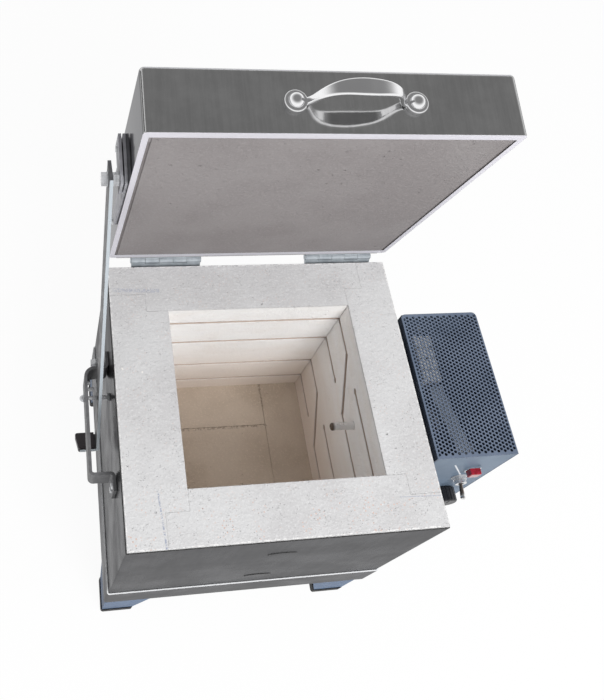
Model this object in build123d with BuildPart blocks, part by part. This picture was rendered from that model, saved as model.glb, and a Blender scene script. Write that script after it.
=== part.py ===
"""Top-loading jewellery kiln: firebrick chamber in a sheet-steel case, hinged lid held open
by a prop arm, and a control box on the right side.

Millimetres. +X is the control box side, +Y the hinge side, +Z up. The lid is modelled open.
Every piece is made from the centre of the case's footprint and written in the frame of the
whole kiln, whose origin is the middle of its overall box on the surface it stands on.
"""
import os
from math import asin, atan2, cos, degrees, hypot, pi, radians, sin, sqrt

from build123d import *

os.makedirs("parts", exist_ok=True)

# ---------------------------------------------------------------- driving dimensions
# The overall box's middle, from the case's middle
frame_x = 29.5
frame_y = 28.0
# Case and base
case_width = 300.0
case_depth = 281.0
case_sheet = 0.9
case_top_below_rim = 3.0
foot_height = 61.0
foot_top_width = 50.0
foot_bottom_width = 35.0
foot_sheet = 2.0
foot_left_inset = 1.0
foot_right_inset = 12.0
pad_height = 12.0
pad_margin = 1.0
pad_core_height = 26.0
tray_sheet = 1.5
tray_height = 51.0
tray_clearance = 0.2
tray_corner = 2.5
# Brickwork
floor_thickness = 35.5
lower_course = 99.0
upper_course = 117.0
chamber_width = 190.0
chamber_depth = 178.0
chamber_shift = 4.0
lap_share = 0.62
brick_joint = 0.4
brick_gap = 0.4
floor_joint_x = 52.0
floor_joint_y = 37.0
# Heating elements in their grooves
groove_height = 4.6
groove_depth = 9.0
element_radius = 1.9
element_bend = 4.0
upper_groove_drop = 32.5
lower_groove_drop = 26.5
upper_turn_pitch = 48.0
lower_turn_pitch = 46.0
ramp_back_y = 48.0
ramp_front_y = -2.0
lead_in_y = 6.0
lead_out_y = 38.0
lead_hole_radius = 3.4
insulator_radius = 3.2
insulator_bore = 2.2
insulator_reach = 5.0
insulator_in_wall = 18.0
tail_length = 4.0
# Thermocouple
probe_radius = 4.0
probe_reach = 25.0
probe_y = -22.0
probe_drop = 55.0
probe_clearance = 0.3
probe_tail = 16.0
probe_head_size = 22.0
# Control box
box_gap = 6.0
box_width = 85.0
box_front_y = -76.0
box_back_y = 78.0
box_top_drop = 4.0
box_below_leads = 5.5
box_corner = 5.0
box_sheet = 1.4
cover_fit = 0.3
cover_flange = 12.0
side_flange = 10.0
perforation_pitch = 4.0
perforation_radius = 1.5
perforation_margin = 1.0
cover_screw_inset = 22.0
spacer_radius = 6.0
spacer_inset = 16.0
spacer_above_bottom = 18.0
spacer_below_top = 30.0
control_x = 211.0
lamp_drop = 45.0
toggle_drop = 77.0
knob_drop = 123.0
# Lid and hinges
lid_angle = 78.0
lid_left_inset = 2.5
lid_right_overhang = 0.5
lid_front_overhang = 6.5
lid_height = 54.0
lid_sheet = 1.0
lid_flange = 8.5
lid_side_flange = 5.0
lid_corner = 4.0
lid_clearance = 1.0
lid_behind_axis = 6.5
lid_left_column = 118.5
lid_right_column = 80.5
lid_cross_left = 180.0
lid_cross_right = 89.0
hinge_setback = 7.0
hinge_length = 72.0
hinge_left_inset = 62.0
hinge_right_inset = 51.0
hinge_leaf = 1.8
hinge_leaf_height = 26.0
hinge_neck = 3.0
hinge_crank = 1.6
knuckle_radius = 3.75
knuckle_gap = 0.3
knuckle_count = 5
pin_radius = 2.0
pin_clearance = 0.06
pin_head = 0.8
screw_head_radius = 3.4
screw_head_height = 1.6
# Handle
handle_centres = 95.0
handle_x = 14.0
handle_t = 25.0
handle_rise = 25.5
handle_thickness = 4.6
handle_width = 14.0
handle_neck = 6.5
crown_half = 24.0
crown_drop = 4.8
boss_radius = 9.2
boss_height = 4.5
boss_round = 1.6
bow_root = 0.2
bow_slope = 1.2
dome_radius = 6.4
dome_height = 5.0
# Lid prop
prop_pivot_s = 183.0
prop_pivot_t = 9.0
arm_stand_off = 10.0
arm_width = 25.0
arm_thickness = 3.0
arm_past_rod = 56.0
arm_top_front = 6.5
arm_top_rear = 10.5
arm_rod_offset = 7.5
tab_reach = 22.5
tab_width = 20.0
tab_slant = 3.0
tab_narrowing = 8.0
grip_wall = 1.4
grip_fit = 0.05
grip_open_edge = 1.0
grip_round = 2.5
pivot_radius = 3.0
pivot_clearance = 0.08
rod_radius = 2.0
rod_y = 21.0
rod_drop = 54.0
rod_nut_height = 2.6
rod_nut_flats = 3.4
cap_nut_height = 1.6
cap_nut_flats = 3.4
notch_clearance = 0.6
notch_length = 21.0
notch_angle = 34.0
strap_thickness = 3.0
strap_height = 28.0
strap_top_drop = 42.0
strap_stand_off = 22.0
strap_front_y = -60.0
strap_back_y = 50.0
strap_foot = 17.0
strap_rear_bend = 9.0
bracket_plate = 2.5
bracket_gap = 1.2
bracket_rear_s = 88.0
bracket_past_pivot = 7.0
bracket_height = 45.0
bracket_outer_width = 22.0
contact = 0.1

# ---------------------------------------------------------------- derived levels and faces
tray_bottom = foot_height
floor_bottom = tray_bottom + tray_sheet
floor_top = floor_bottom + floor_thickness
course_joint = floor_top + lower_course
rim = course_joint + upper_course
case_top = rim - case_top_below_rim
to_frame = Location((-frame_x, -frame_y, 0))
case_x = case_width / 2
case_y = case_depth / 2
brick_x = case_x - case_sheet - brick_gap
brick_y = case_y - case_sheet - brick_gap
chamber_left = chamber_shift - chamber_width / 2
chamber_right = chamber_shift + chamber_width / 2
chamber_y = chamber_depth / 2
tray_x = case_x + tray_clearance + tray_sheet
tray_y = case_y + tray_clearance + tray_sheet
base_align = (Align.CENTER, Align.CENTER, Align.MIN)


# ---------------------------------------------------------------- base tray
# Folded steel tray that the brickwork and the case stand in.
with BuildPart() as base_tray:
    with BuildSketch(Plane.XY.offset(tray_bottom)):
        RectangleRounded(2 * tray_x, 2 * tray_y, tray_corner)
    extrude(amount=tray_height)
    with BuildSketch(Plane.XY.offset(floor_bottom)):
        RectangleRounded(2 * (tray_x - tray_sheet), 2 * (tray_y - tray_sheet), tray_corner - tray_sheet)
    extrude(amount=tray_height, mode=Mode.SUBTRACT)
base_tray.part.label = "base_tray"
export_step(base_tray.part.moved(to_frame), "parts/base_tray.step")


# ---------------------------------------------------------------- feet and pads
# Each foot is an angle folded from sheet, both legs tapering down to a moulded pad.
foot_corners = {
    "front_left": (-(tray_x - foot_left_inset), -tray_y, 1, 1),
    "front_right": (tray_x - foot_right_inset, -tray_y, -1, 1),
    "back_left": (-(tray_x - foot_left_inset), tray_y, 1, -1),
    "back_right": (tray_x - foot_right_inset, tray_y, -1, -1),
}
for corner, (foot_x, foot_y, inward_x, inward_y) in foot_corners.items():
    leg_height = foot_height - pad_height
    with BuildPart() as foot:
        with BuildSketch(Plane((foot_x, foot_y, pad_height), x_dir=(inward_x, 0, 0), z_dir=(0, -inward_x, 0))):
            with BuildLine():
                Polyline(
                    (0, 0),
                    (foot_bottom_width, 0),
                    (foot_top_width, leg_height),
                    (0, leg_height),
                    close=True,
                )
            make_face()
        extrude(amount=-foot_sheet * inward_x * inward_y)
        with BuildSketch(Plane((foot_x, foot_y, pad_height), x_dir=(0, inward_y, 0), z_dir=(inward_y, 0, 0))):
            with BuildLine():
                Polyline(
                    (0, 0),
                    (foot_bottom_width, 0),
                    (foot_top_width, leg_height),
                    (0, leg_height),
                    close=True,
                )
            make_face()
        extrude(amount=foot_sheet * inward_x * inward_y)
        with BuildSketch(Plane.XY.offset(foot_height - foot_sheet)):
            with Locations((foot_x + inward_x * foot_top_width / 2, foot_y + inward_y * foot_top_width / 2)):
                Rectangle(foot_top_width, foot_top_width)
        extrude(amount=foot_sheet)
    foot.part.label = f"foot_{corner}"
    export_step(foot.part.moved(to_frame), f"parts/foot_{corner}.step")

pad_size = foot_bottom_width + 2 * pad_margin
core_size = foot_bottom_width - foot_sheet - 2 * contact
with BuildPart() as foot_pads:
    for foot_x, foot_y, inward_x, inward_y in foot_corners.values():
        with BuildSketch():
            with Locations((foot_x + inward_x * foot_bottom_width / 2, foot_y + inward_y * foot_bottom_width / 2)):
                RectangleRounded(pad_size, pad_size, 3)
        extrude(amount=pad_height)
        core_start = foot_sheet + contact + core_size / 2
        with BuildSketch(Plane.XY.offset(pad_height)):
            with Locations((foot_x + inward_x * core_start, foot_y + inward_y * core_start)):
                Rectangle(core_size, core_size)
        extrude(amount=pad_core_height)
foot_pads.part.label = "foot_pads"
export_step(foot_pads.part.moved(to_frame), "parts/foot_pads.step")


# ---------------------------------------------------------------- floor bricks
# Three bricks with a T joint lie in the tray under the chamber.
floor_areas = {
    "floor_brick_right": (floor_joint_x + brick_joint / 2, brick_x, -brick_y, brick_y),
    "floor_brick_back": (-brick_x, floor_joint_x - brick_joint / 2, floor_joint_y + brick_joint / 2, brick_y),
    "floor_brick_front": (-brick_x, floor_joint_x - brick_joint / 2, -brick_y, floor_joint_y - brick_joint / 2),
}
for floor_name, (x_low, x_high, y_low, y_high) in floor_areas.items():
    with BuildPart() as floor_brick:
        with BuildSketch(Plane.XY.offset(floor_bottom)):
            with Locations(((x_low + x_high) / 2, (y_low + y_high) / 2)):
                Rectangle(x_high - x_low, y_high - y_low)
        extrude(amount=floor_thickness)
    floor_brick.part.label = floor_name
    export_step(floor_brick.part.moved(to_frame), f"parts/{floor_name}.step")


# ---------------------------------------------------------------- element grooves
def groove_rings(first_level, pitch):
    """Cutter for one element: two turns round the chamber, joined by a ramp in the right wall."""
    half = groove_height / 2
    with BuildPart() as rings:
        for level in (first_level, first_level - pitch):
            with BuildSketch(Plane.XY.offset(level - half)):
                with Locations((chamber_shift, 0)):
                    Rectangle(chamber_width + 2 * groove_depth, chamber_depth + 2 * groove_depth)
            extrude(amount=groove_height)
        for level, y_front, y_back in (
            (first_level, lead_in_y + half, ramp_back_y - half),
            (first_level - pitch, ramp_front_y + half, lead_out_y - half),
        ):
            with BuildSketch(Plane.XY.offset(level - groove_height)):
                with Locations((chamber_right + groove_depth, (y_front + y_back) / 2)):
                    Rectangle(4 * groove_depth, y_back - y_front)
            extrude(amount=2 * groove_height, mode=Mode.SUBTRACT)
        with BuildSketch(Plane.YZ.offset(chamber_right - 1)):
            with BuildLine():
                Polyline(
                    (ramp_back_y - half, first_level + half),
                    (ramp_back_y + half, first_level - half),
                    (ramp_front_y + half, first_level - pitch - half),
                    (ramp_front_y - half, first_level - pitch + half),
                    close=True,
                )
            make_face()
        extrude(amount=groove_depth + 1)
    return rings.part


upper_level = rim - upper_groove_drop
lower_level = course_joint - lower_groove_drop
groove_cutters = {
    "upper": groove_rings(upper_level, upper_turn_pitch),
    "lower": groove_rings(lower_level, lower_turn_pitch),
}
lead_points = {
    "upper": ((lead_in_y, upper_level), (lead_out_y, upper_level - upper_turn_pitch)),
    "lower": ((lead_in_y, lower_level), (lead_out_y, lower_level - lower_turn_pitch)),
}
probe_z = rim - probe_drop


# ---------------------------------------------------------------- wall bricks
# Two courses of four. Each brick's tongue laps the end of the next brick at the corner,
# so the joints turn like a pinwheel. The lower course turns the other way.
wall_thickness = {
    "front": brick_y - chamber_y,
    "right": brick_x - chamber_right,
    "back": brick_y - chamber_y,
    "left": brick_x + chamber_left,
}
turning_order = ["front", "right", "back", "left"]
wall_starts = {
    "front": ((-brick_x, -brick_y), (1, 0), 2 * brick_x),
    "right": ((brick_x, -brick_y), (0, 1), 2 * brick_y),
    "back": ((brick_x, brick_y), (-1, 0), 2 * brick_x),
    "left": ((-brick_x, brick_y), (0, -1), 2 * brick_y),
}


def wall_outline(side, turn):
    """Corner points of a wall brick: x along the wall from the lapped end, y inwards."""
    place = turning_order.index(side)
    before = turning_order[(place - turn) % 4]
    after = turning_order[(place + turn) % 4]
    length = wall_starts[side][2]
    own, own_lap = wall_thickness[side], lap_share * wall_thickness[side]
    start, start_lap = wall_thickness[before], lap_share * wall_thickness[before]
    end_lap = lap_share * wall_thickness[after]
    return [
        (start_lap + brick_joint, 0),
        (length, 0),
        (length, own_lap),
        (length - end_lap, own_lap),
        (length - end_lap, own),
        (start + brick_joint, own),
        (start + brick_joint, own_lap - brick_joint),
        (start_lap + brick_joint, own_lap - brick_joint),
    ]


for course, bottom, height, turn in (
    ("upper", course_joint, upper_course, 1),
    ("lower", floor_top, lower_course, -1),
):
    for side in turning_order:
        (start_x, start_y), (along_x, along_y), length = wall_starts[side]
        if turn < 0:
            start_x, start_y = start_x + along_x * length, start_y + along_y * length
        wall_plane = Plane((start_x, start_y, bottom), x_dir=(turn * along_x, turn * along_y, 0), z_dir=(0, 0, turn))
        with BuildPart() as wall_brick:
            with BuildSketch(wall_plane):
                with BuildLine():
                    Polyline(*wall_outline(side, turn), close=True)
                make_face()
            extrude(amount=height * turn)
            add(groove_cutters[course], mode=Mode.SUBTRACT)
            if side == "right":
                for lead_y, lead_z in lead_points[course]:
                    with Locations(Plane((chamber_right - 1, lead_y, lead_z), z_dir=(1, 0, 0))):
                        Cylinder(
                            lead_hole_radius,
                            case_x,
                            align=base_align,
                            mode=Mode.SUBTRACT,
                        )
                if course == "upper":
                    with Locations(Plane((chamber_right - 1, probe_y, probe_z), z_dir=(1, 0, 0))):
                        Cylinder(
                            probe_radius + probe_clearance,
                            case_x,
                            align=base_align,
                            mode=Mode.SUBTRACT,
                        )
        wall_brick.part.label = f"wall_brick_{course}_{side}"
        export_step(wall_brick.part.moved(to_frame), f"parts/wall_brick_{course}_{side}.step")


# ---------------------------------------------------------------- heating elements
# Each element runs two turns in its grooves. Its two tails leave through the right wall.
box_inner = case_x + box_gap
lead_end = box_inner + box_sheet + insulator_reach + tail_length
for course, first_level, pitch in (
    ("upper", upper_level, upper_turn_pitch),
    ("lower", lower_level, lower_turn_pitch),
):
    middle = groove_depth / 2
    x_left, x_right = chamber_left - middle, chamber_right + middle
    y_front, y_back = -chamber_y - middle, chamber_y + middle
    second_level = first_level - pitch
    with BuildPart() as element:
        with BuildLine() as element_path:
            FilletPolyline(
                (lead_end, lead_in_y, first_level),
                (x_right, lead_in_y, first_level),
                (x_right, y_front, first_level),
                (x_left, y_front, first_level),
                (x_left, y_back, first_level),
                (x_right, y_back, first_level),
                (x_right, ramp_back_y, first_level),
                (x_right, ramp_front_y, second_level),
                (x_right, y_front, second_level),
                (x_left, y_front, second_level),
                (x_left, y_back, second_level),
                (x_right, y_back, second_level),
                (x_right, lead_out_y, second_level),
                (lead_end, lead_out_y, second_level),
                radius=element_bend,
            )
        with BuildSketch(Plane((lead_end, lead_in_y, first_level), z_dir=(-1, 0, 0))):
            Circle(element_radius)
        sweep(path=element_path.line)
    element.part.label = f"element_{course}"
    export_step(element.part.moved(to_frame), f"parts/element_{course}.step")

# Ceramic tubes carry the four tails through the case and the control box.
insulator_start = case_x - insulator_in_wall
insulator_end = box_inner + box_sheet + insulator_reach
with BuildPart() as lead_insulators:
    for course_leads in lead_points.values():
        for lead_y, lead_z in course_leads:
            with BuildSketch(Plane((insulator_start, lead_y, lead_z), z_dir=(1, 0, 0))):
                Circle(insulator_radius)
                Circle(insulator_bore, mode=Mode.SUBTRACT)
            extrude(amount=insulator_end - insulator_start)
lead_insulators.part.label = "lead_insulators"
export_step(lead_insulators.part.moved(to_frame), "parts/lead_insulators.step")


# ---------------------------------------------------------------- thermocouple
# Closed metal sheath through the right wall, with its connection head in the control box.
with BuildPart() as thermocouple_sheath:
    with BuildSketch(Plane((chamber_right - probe_reach, probe_y, probe_z), z_dir=(1, 0, 0))):
        Circle(probe_radius)
    extrude(amount=probe_reach + box_inner - chamber_right + probe_tail)
    fillet(thermocouple_sheath.faces().sort_by(Axis.X)[0].edges(), probe_radius * 0.5)
thermocouple_sheath.part.label = "thermocouple_sheath"
export_step(thermocouple_sheath.part.moved(to_frame), "parts/thermocouple_sheath.step")

with BuildPart() as thermocouple_head:
    with Locations((box_inner + probe_tail + probe_head_size / 2 + contact, probe_y, probe_z)):
        Box(probe_head_size, probe_head_size, probe_head_size * 0.7)
    fillet(thermocouple_head.edges().filter_by(Axis.X), 2)
thermocouple_head.part.label = "thermocouple_head"
export_step(thermocouple_head.part.moved(to_frame), "parts/thermocouple_head.step")


# ---------------------------------------------------------------- case
# Steel wrap around the brickwork, with two shallow pressed ovals on its front.
oval_places = ((4.0, 60.0), (4.0, 168.0))
oval_radii = (14.5, 6.0)
oval_rise = 0.6
casing_corner = 1.2
with BuildPart() as casing_shell:
    with BuildSketch(Plane.XY.offset(floor_bottom)):
        RectangleRounded(2 * case_x, 2 * case_y, casing_corner)
        Rectangle(2 * (case_x - case_sheet), 2 * (case_y - case_sheet), mode=Mode.SUBTRACT)
    extrude(amount=case_top - floor_bottom)
    for oval_x, oval_drop in oval_places:
        with BuildSketch(Plane((oval_x, -case_y, rim - oval_drop), x_dir=(1, 0, 0), z_dir=(0, -1, 0))):
            Ellipse(*oval_radii)
        extrude(amount=oval_rise)
    for course_leads in lead_points.values():
        for lead_y, lead_z in course_leads:
            with Locations(Plane((case_x, lead_y, lead_z), z_dir=(1, 0, 0))):
                Cylinder(lead_hole_radius, 4 * case_sheet, mode=Mode.SUBTRACT)
    with Locations(Plane((case_x, probe_y, probe_z), z_dir=(1, 0, 0))):
        Cylinder(probe_radius + probe_clearance, 4 * case_sheet, mode=Mode.SUBTRACT)
casing_shell.part.label = "casing_shell"
export_step(casing_shell.part.moved(to_frame), "parts/casing_shell.step")


# ---------------------------------------------------------------- control box chassis
# Folded chassis on four spacers: front, back, bottom, and the side next to the case.
box_outer = box_inner + box_width
box_top = rim - box_top_drop
box_bottom = lower_level - lower_turn_pitch - box_below_leads
box_height = box_top - box_bottom
box_mid_x = (box_inner + box_outer) / 2
box_mid_y = (box_front_y + box_back_y) / 2
box_depth = box_back_y - box_front_y
chassis_outer = box_outer - box_sheet - cover_fit
chassis_inner = box_inner + box_sheet + cover_fit
chassis_width = chassis_outer - chassis_inner
chassis_top = box_top - box_sheet - cover_fit
chassis_mid_x = (chassis_inner + chassis_outer) / 2
lamp_z, toggle_z, knob_z = rim - lamp_drop, rim - toggle_drop, rim - knob_drop
lamp_size = 10.4
toggle_bush = 6.0
spindle_hole = 4.6
gland_radius = 8.0
panel_fit = 0.2
gland_above_bottom = 34.0
gland_x, gland_z = box_mid_x, box_bottom + gland_above_bottom
with BuildPart() as control_chassis:
    with BuildSketch(Plane.XY.offset(box_bottom)):
        with Locations((chassis_mid_x, box_mid_y)):
            Rectangle(chassis_width, box_depth)
    extrude(amount=chassis_top - box_bottom)
    with BuildSketch(Plane.XY.offset(box_bottom + box_sheet)):
        with Locations((chassis_mid_x, box_mid_y)):
            Rectangle(chassis_width - 2 * box_sheet, box_depth - 2 * box_sheet)
    extrude(amount=box_height, mode=Mode.SUBTRACT)
    with BuildSketch(Plane.XY.offset(box_bottom + side_flange)):
        with Locations((chassis_outer, box_mid_y)):
            Rectangle(4 * box_sheet, box_depth - 2 * box_sheet)
    extrude(amount=box_height, mode=Mode.SUBTRACT)
    for course_leads in lead_points.values():
        for lead_y, lead_z in course_leads:
            with Locations(Plane((chassis_inner, lead_y, lead_z), z_dir=(1, 0, 0))):
                Cylinder(lead_hole_radius, 4 * box_sheet, mode=Mode.SUBTRACT)
    with Locations(Plane((chassis_inner, probe_y, probe_z), z_dir=(1, 0, 0))):
        Cylinder(probe_radius + probe_clearance, 4 * box_sheet, mode=Mode.SUBTRACT)
    with Locations((control_x, box_front_y, lamp_z)):
        Box(lamp_size + 2 * panel_fit, 4 * box_sheet, lamp_size + 2 * panel_fit, mode=Mode.SUBTRACT)
    for hole_z, hole_radius in ((toggle_z, toggle_bush + panel_fit), (knob_z, spindle_hole)):
        with Locations(Plane((control_x, box_front_y, hole_z), z_dir=(0, -1, 0))):
            Cylinder(hole_radius, 4 * box_sheet, mode=Mode.SUBTRACT)
    with Locations(Plane((gland_x, box_back_y, gland_z), z_dir=(0, 1, 0))):
        Cylinder(gland_radius + panel_fit, 4 * box_sheet, mode=Mode.SUBTRACT)
control_chassis.part.label = "control_chassis"
export_step(control_chassis.part.moved(to_frame), "parts/control_chassis.step")

# Cover: perforated top, plain outer side with a rounded return at its back edge, and a short
# flange next to the case. The holes are staggered: each column is half a pitch further along
# than the one before.
column_step = perforation_pitch * sqrt(3) / 2
field_x = box_width - 2 * (perforation_margin + perforation_radius)
field_y = box_depth - 2 * (perforation_margin + perforation_radius) - perforation_pitch / 2
column_pairs = int((field_x / column_step + 1) / 2)
holes_in_column = int(field_y / perforation_pitch) + 1
cover_side = box_depth - box_corner
cover_side_y = box_mid_y - box_corner / 2
return_bottom = box_bottom + side_flange + cover_fit
with BuildPart() as perforated_cover:
    with BuildSketch(Plane.XY.offset(box_top - box_sheet)) as cover_outline:
        with Locations((box_mid_x, box_mid_y)):
            Rectangle(box_width, box_depth)
        fillet(cover_outline.vertices().group_by(Axis.Y)[-1], box_corner)
        for stagger in (-1, 1):
            with Locations((box_mid_x + stagger * column_step / 2, box_mid_y + stagger * perforation_pitch / 4)):
                with GridLocations(2 * column_step, perforation_pitch, column_pairs, holes_in_column):
                    Circle(perforation_radius, mode=Mode.SUBTRACT)
    extrude(amount=box_sheet)
    with BuildSketch(Plane.XY.offset(box_bottom)):
        with Locations((box_outer - box_sheet / 2, cover_side_y)):
            Rectangle(box_sheet, cover_side)
    extrude(amount=box_height - box_sheet)
    with BuildSketch(Plane.XY.offset(return_bottom)):
        with Locations((box_outer - box_corner, box_back_y - box_corner)):
            Circle(box_corner)
            Circle(box_corner - box_sheet, mode=Mode.SUBTRACT)
            Rectangle(
                box_corner,
                box_corner - box_sheet - cover_fit,
                align=(Align.MIN, Align.MIN),
                mode=Mode.INTERSECT,
            )
    extrude(amount=box_top - box_sheet - return_bottom)
    with BuildSketch(Plane.XY.offset(box_top - cover_flange)):
        with Locations((box_inner + box_sheet / 2, cover_side_y)):
            Rectangle(box_sheet, cover_side)
    extrude(amount=cover_flange - box_sheet)
perforated_cover.part.label = "perforated_cover"
export_step(perforated_cover.part.moved(to_frame), "parts/perforated_cover.step")

with BuildPart() as cover_screws:
    for screw_y in (box_front_y + cover_screw_inset, box_back_y - cover_screw_inset):
        with BuildSketch(Plane((box_outer, screw_y, box_bottom + side_flange / 2), z_dir=(1, 0, 0))):
            Circle(screw_head_radius)
        extrude(amount=screw_head_height)
cover_screws.part.label = "cover_screws"
export_step(cover_screws.part.moved(to_frame), "parts/cover_screws.step")

spacer_levels = (box_bottom + spacer_above_bottom, box_top - spacer_below_top)
spacer_length = chassis_inner - case_x
with BuildPart() as box_spacers:
    for spacer_z in spacer_levels:
        for spacer_y in (box_front_y + spacer_inset, box_back_y - spacer_inset):
            with BuildSketch(Plane((case_x, spacer_y, spacer_z), z_dir=(1, 0, 0))):
                Circle(spacer_radius)
            extrude(amount=spacer_length)
box_spacers.part.label = "box_spacers"
export_step(box_spacers.part.moved(to_frame), "parts/box_spacers.step")


# ---------------------------------------------------------------- inside the control box
# Terminal block for the element tails, a baffle bracket, and the regulator and switches.
terminal_size = (20.0, 50.0, 20.0)
terminal_slot = (1.6, 12.0)
terminal_below_top = 8.0
terminal_x = insulator_end + tail_length + contact + terminal_size[0] / 2
terminal_before_lead = 7.0
terminal_y = lead_out_y - terminal_before_lead
terminal_top = box_top - terminal_below_top
with BuildPart() as terminal_block:
    with Locations((terminal_x, terminal_y, terminal_top)):
        Box(*terminal_size, align=(Align.CENTER, Align.CENTER, Align.MAX))
    for slot in (-1, 0, 1):
        with Locations((terminal_x, terminal_y + slot * terminal_size[1] / 4, terminal_top)):
            Box(terminal_size[0] + 1, *terminal_slot, mode=Mode.SUBTRACT)
terminal_block.part.label = "terminal_block"
export_step(terminal_block.part.moved(to_frame), "parts/terminal_block.step")

baffle_length = 73.5
baffle_flange = 15.0
baffle_web = 35.0
baffle_turn = -79.0
baffle_from_case = 27.0
baffle_from_front = 39.0
baffle_below_top = 6.0
baffle_top = box_top - baffle_below_top
baffle_centre = (box_inner + baffle_from_case, box_front_y + baffle_from_front, 0)
with BuildPart() as baffle_bracket:
    with BuildSketch(Plane.XY.offset(baffle_top - box_sheet)):
        with Locations(Location(baffle_centre, (0, 0, baffle_turn))):
            Rectangle(baffle_length, baffle_flange)
    extrude(amount=box_sheet)
    with BuildSketch(Plane.XY.offset(baffle_top - baffle_web)):
        with Locations(Location(baffle_centre, (0, 0, baffle_turn))):
            with Locations((0, baffle_flange / 2 - box_sheet / 2)):
                Rectangle(baffle_length, box_sheet)
    extrude(amount=baffle_web - box_sheet)
baffle_bracket.part.label = "baffle_bracket"
export_step(baffle_bracket.part.moved(to_frame), "parts/baffle_bracket.step")


# ---------------------------------------------------------------- indicator lamp
panel_face = box_front_y
panel_back = box_front_y + box_sheet
bezel_size = 13.5
bezel_height = 2.4
bezel_corner = 1.2
lens_size = 11.4
lens_fit = 0.1
lens_seat = 1.9
lens_front = 6.0
lens_corner = 1.0
lens_round = 1.2
lamp_barrel = 24.0
with BuildPart() as lamp_body:
    with BuildSketch(Plane((control_x, panel_face, lamp_z), x_dir=(1, 0, 0), z_dir=(0, -1, 0))):
        RectangleRounded(bezel_size, bezel_size, bezel_corner)
    extrude(amount=bezel_height)
    with Locations((control_x, panel_face, lamp_z)):
        Box(lamp_size, lamp_barrel, lamp_size, align=(Align.CENTER, Align.MIN, Align.CENTER))
    with BuildSketch(Plane((control_x, panel_face - bezel_height, lamp_z), x_dir=(1, 0, 0), z_dir=(0, -1, 0))):
        Rectangle(lens_size + 2 * lens_fit, lens_size + 2 * lens_fit)
    extrude(amount=-lens_seat, mode=Mode.SUBTRACT)
lamp_body.part.label = "lamp_body"
export_step(lamp_body.part.moved(to_frame), "parts/lamp_body.step")

lens_back = panel_face - bezel_height + lens_seat - contact
with BuildPart() as lamp_lens:
    with BuildSketch(Plane((control_x, lens_back, lamp_z), x_dir=(1, 0, 0), z_dir=(0, -1, 0))):
        RectangleRounded(lens_size, lens_size, lens_corner)
    extrude(amount=lens_seat + lens_front)
    fillet(lamp_lens.faces().sort_by(Axis.Y)[0].edges(), lens_round)
lamp_lens.part.label = "lamp_lens"
export_step(lamp_lens.part.moved(to_frame), "parts/lamp_lens.step")


# ---------------------------------------------------------------- toggle switch
# The lever swings on a ball inside the threaded bush, held by a cross pin through both.
bush_reach = 7.5
toggle_case = (14.0, 22.0, 28.0)
toggle_swing = 12.0
toggle_bore = 3.1
ball_clearance = 0.1
pivot_behind_bush = 4.2
cross_pin_radius = 0.9
cross_pin_clearance = 0.05
toggle_washer_radius = 8.4
toggle_washer = 0.9
toggle_nut_flats = 6.9
toggle_nut_height = 2.6
nut_fit = 0.1
lever_length = 17.5
lever_neck = 1.5
lever_end = 2.4
lever_tip = 2.6
lever_pivot_y = panel_face - bush_reach + pivot_behind_bush
with BuildPart() as toggle_body:
    with Locations((control_x, panel_back, toggle_z)):
        Box(*toggle_case, align=(Align.CENTER, Align.MIN, Align.CENTER))
    with BuildSketch(Plane((control_x, panel_back, toggle_z), x_dir=(1, 0, 0), z_dir=(0, -1, 0))):
        Circle(toggle_bush)
    extrude(amount=bush_reach + box_sheet)
    with BuildSketch(Plane((control_x, panel_face - bush_reach, toggle_z), x_dir=(1, 0, 0), z_dir=(0, -1, 0))):
        Circle(toggle_bore)
    extrude(amount=-bush_reach - box_sheet, mode=Mode.SUBTRACT)
    with Locations(Plane((control_x, lever_pivot_y, toggle_z), z_dir=(1, 0, 0))):
        Cylinder(cross_pin_radius + cross_pin_clearance, 3 * toggle_bush, mode=Mode.SUBTRACT)
toggle_body.part.label = "toggle_body"
export_step(toggle_body.part.moved(to_frame), "parts/toggle_body.step")

with BuildPart() as toggle_nut:
    with BuildSketch(Plane((control_x, panel_face, toggle_z), x_dir=(1, 0, 0), z_dir=(0, -1, 0))):
        Circle(toggle_washer_radius)
        Circle(toggle_bush + nut_fit, mode=Mode.SUBTRACT)
    extrude(amount=toggle_washer)
    with BuildSketch(Plane((control_x, panel_face - toggle_washer, toggle_z), x_dir=(1, 0, 0), z_dir=(0, -1, 0))):
        RegularPolygon(toggle_nut_flats, 6, major_radius=False)
        Circle(toggle_bush + nut_fit, mode=Mode.SUBTRACT)
    extrude(amount=toggle_nut_height)
toggle_nut.part.label = "toggle_nut"
export_step(toggle_nut.part.moved(to_frame), "parts/toggle_nut.step")

lever_tilt = radians(toggle_swing)
lever_plane = Plane(
    (control_x, lever_pivot_y, toggle_z),
    x_dir=(1, 0, 0),
    z_dir=(0, -cos(lever_tilt), -sin(lever_tilt)),
)
with BuildPart() as toggle_lever:
    with BuildSketch(Plane(lever_plane.origin, x_dir=lever_plane.z_dir, z_dir=lever_plane.x_dir)):
        with BuildLine():
            Polyline((0, 0), (0, lever_neck), (lever_length - lever_neck, lever_end), (lever_length, 0), close=True)
        make_face()
    revolve(axis=Axis(lever_plane.origin, lever_plane.z_dir))
    with Locations(lever_plane):
        Sphere(toggle_bore - ball_clearance)
    with Locations(lever_plane.offset(lever_length)):
        Sphere(lever_tip)
    with Locations(Plane(lever_plane.origin, z_dir=(1, 0, 0))):
        Cylinder(cross_pin_radius, 2 * toggle_bush)
toggle_lever.part.label = "toggle_lever"
export_step(toggle_lever.part.moved(to_frame), "parts/toggle_lever.step")


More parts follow.
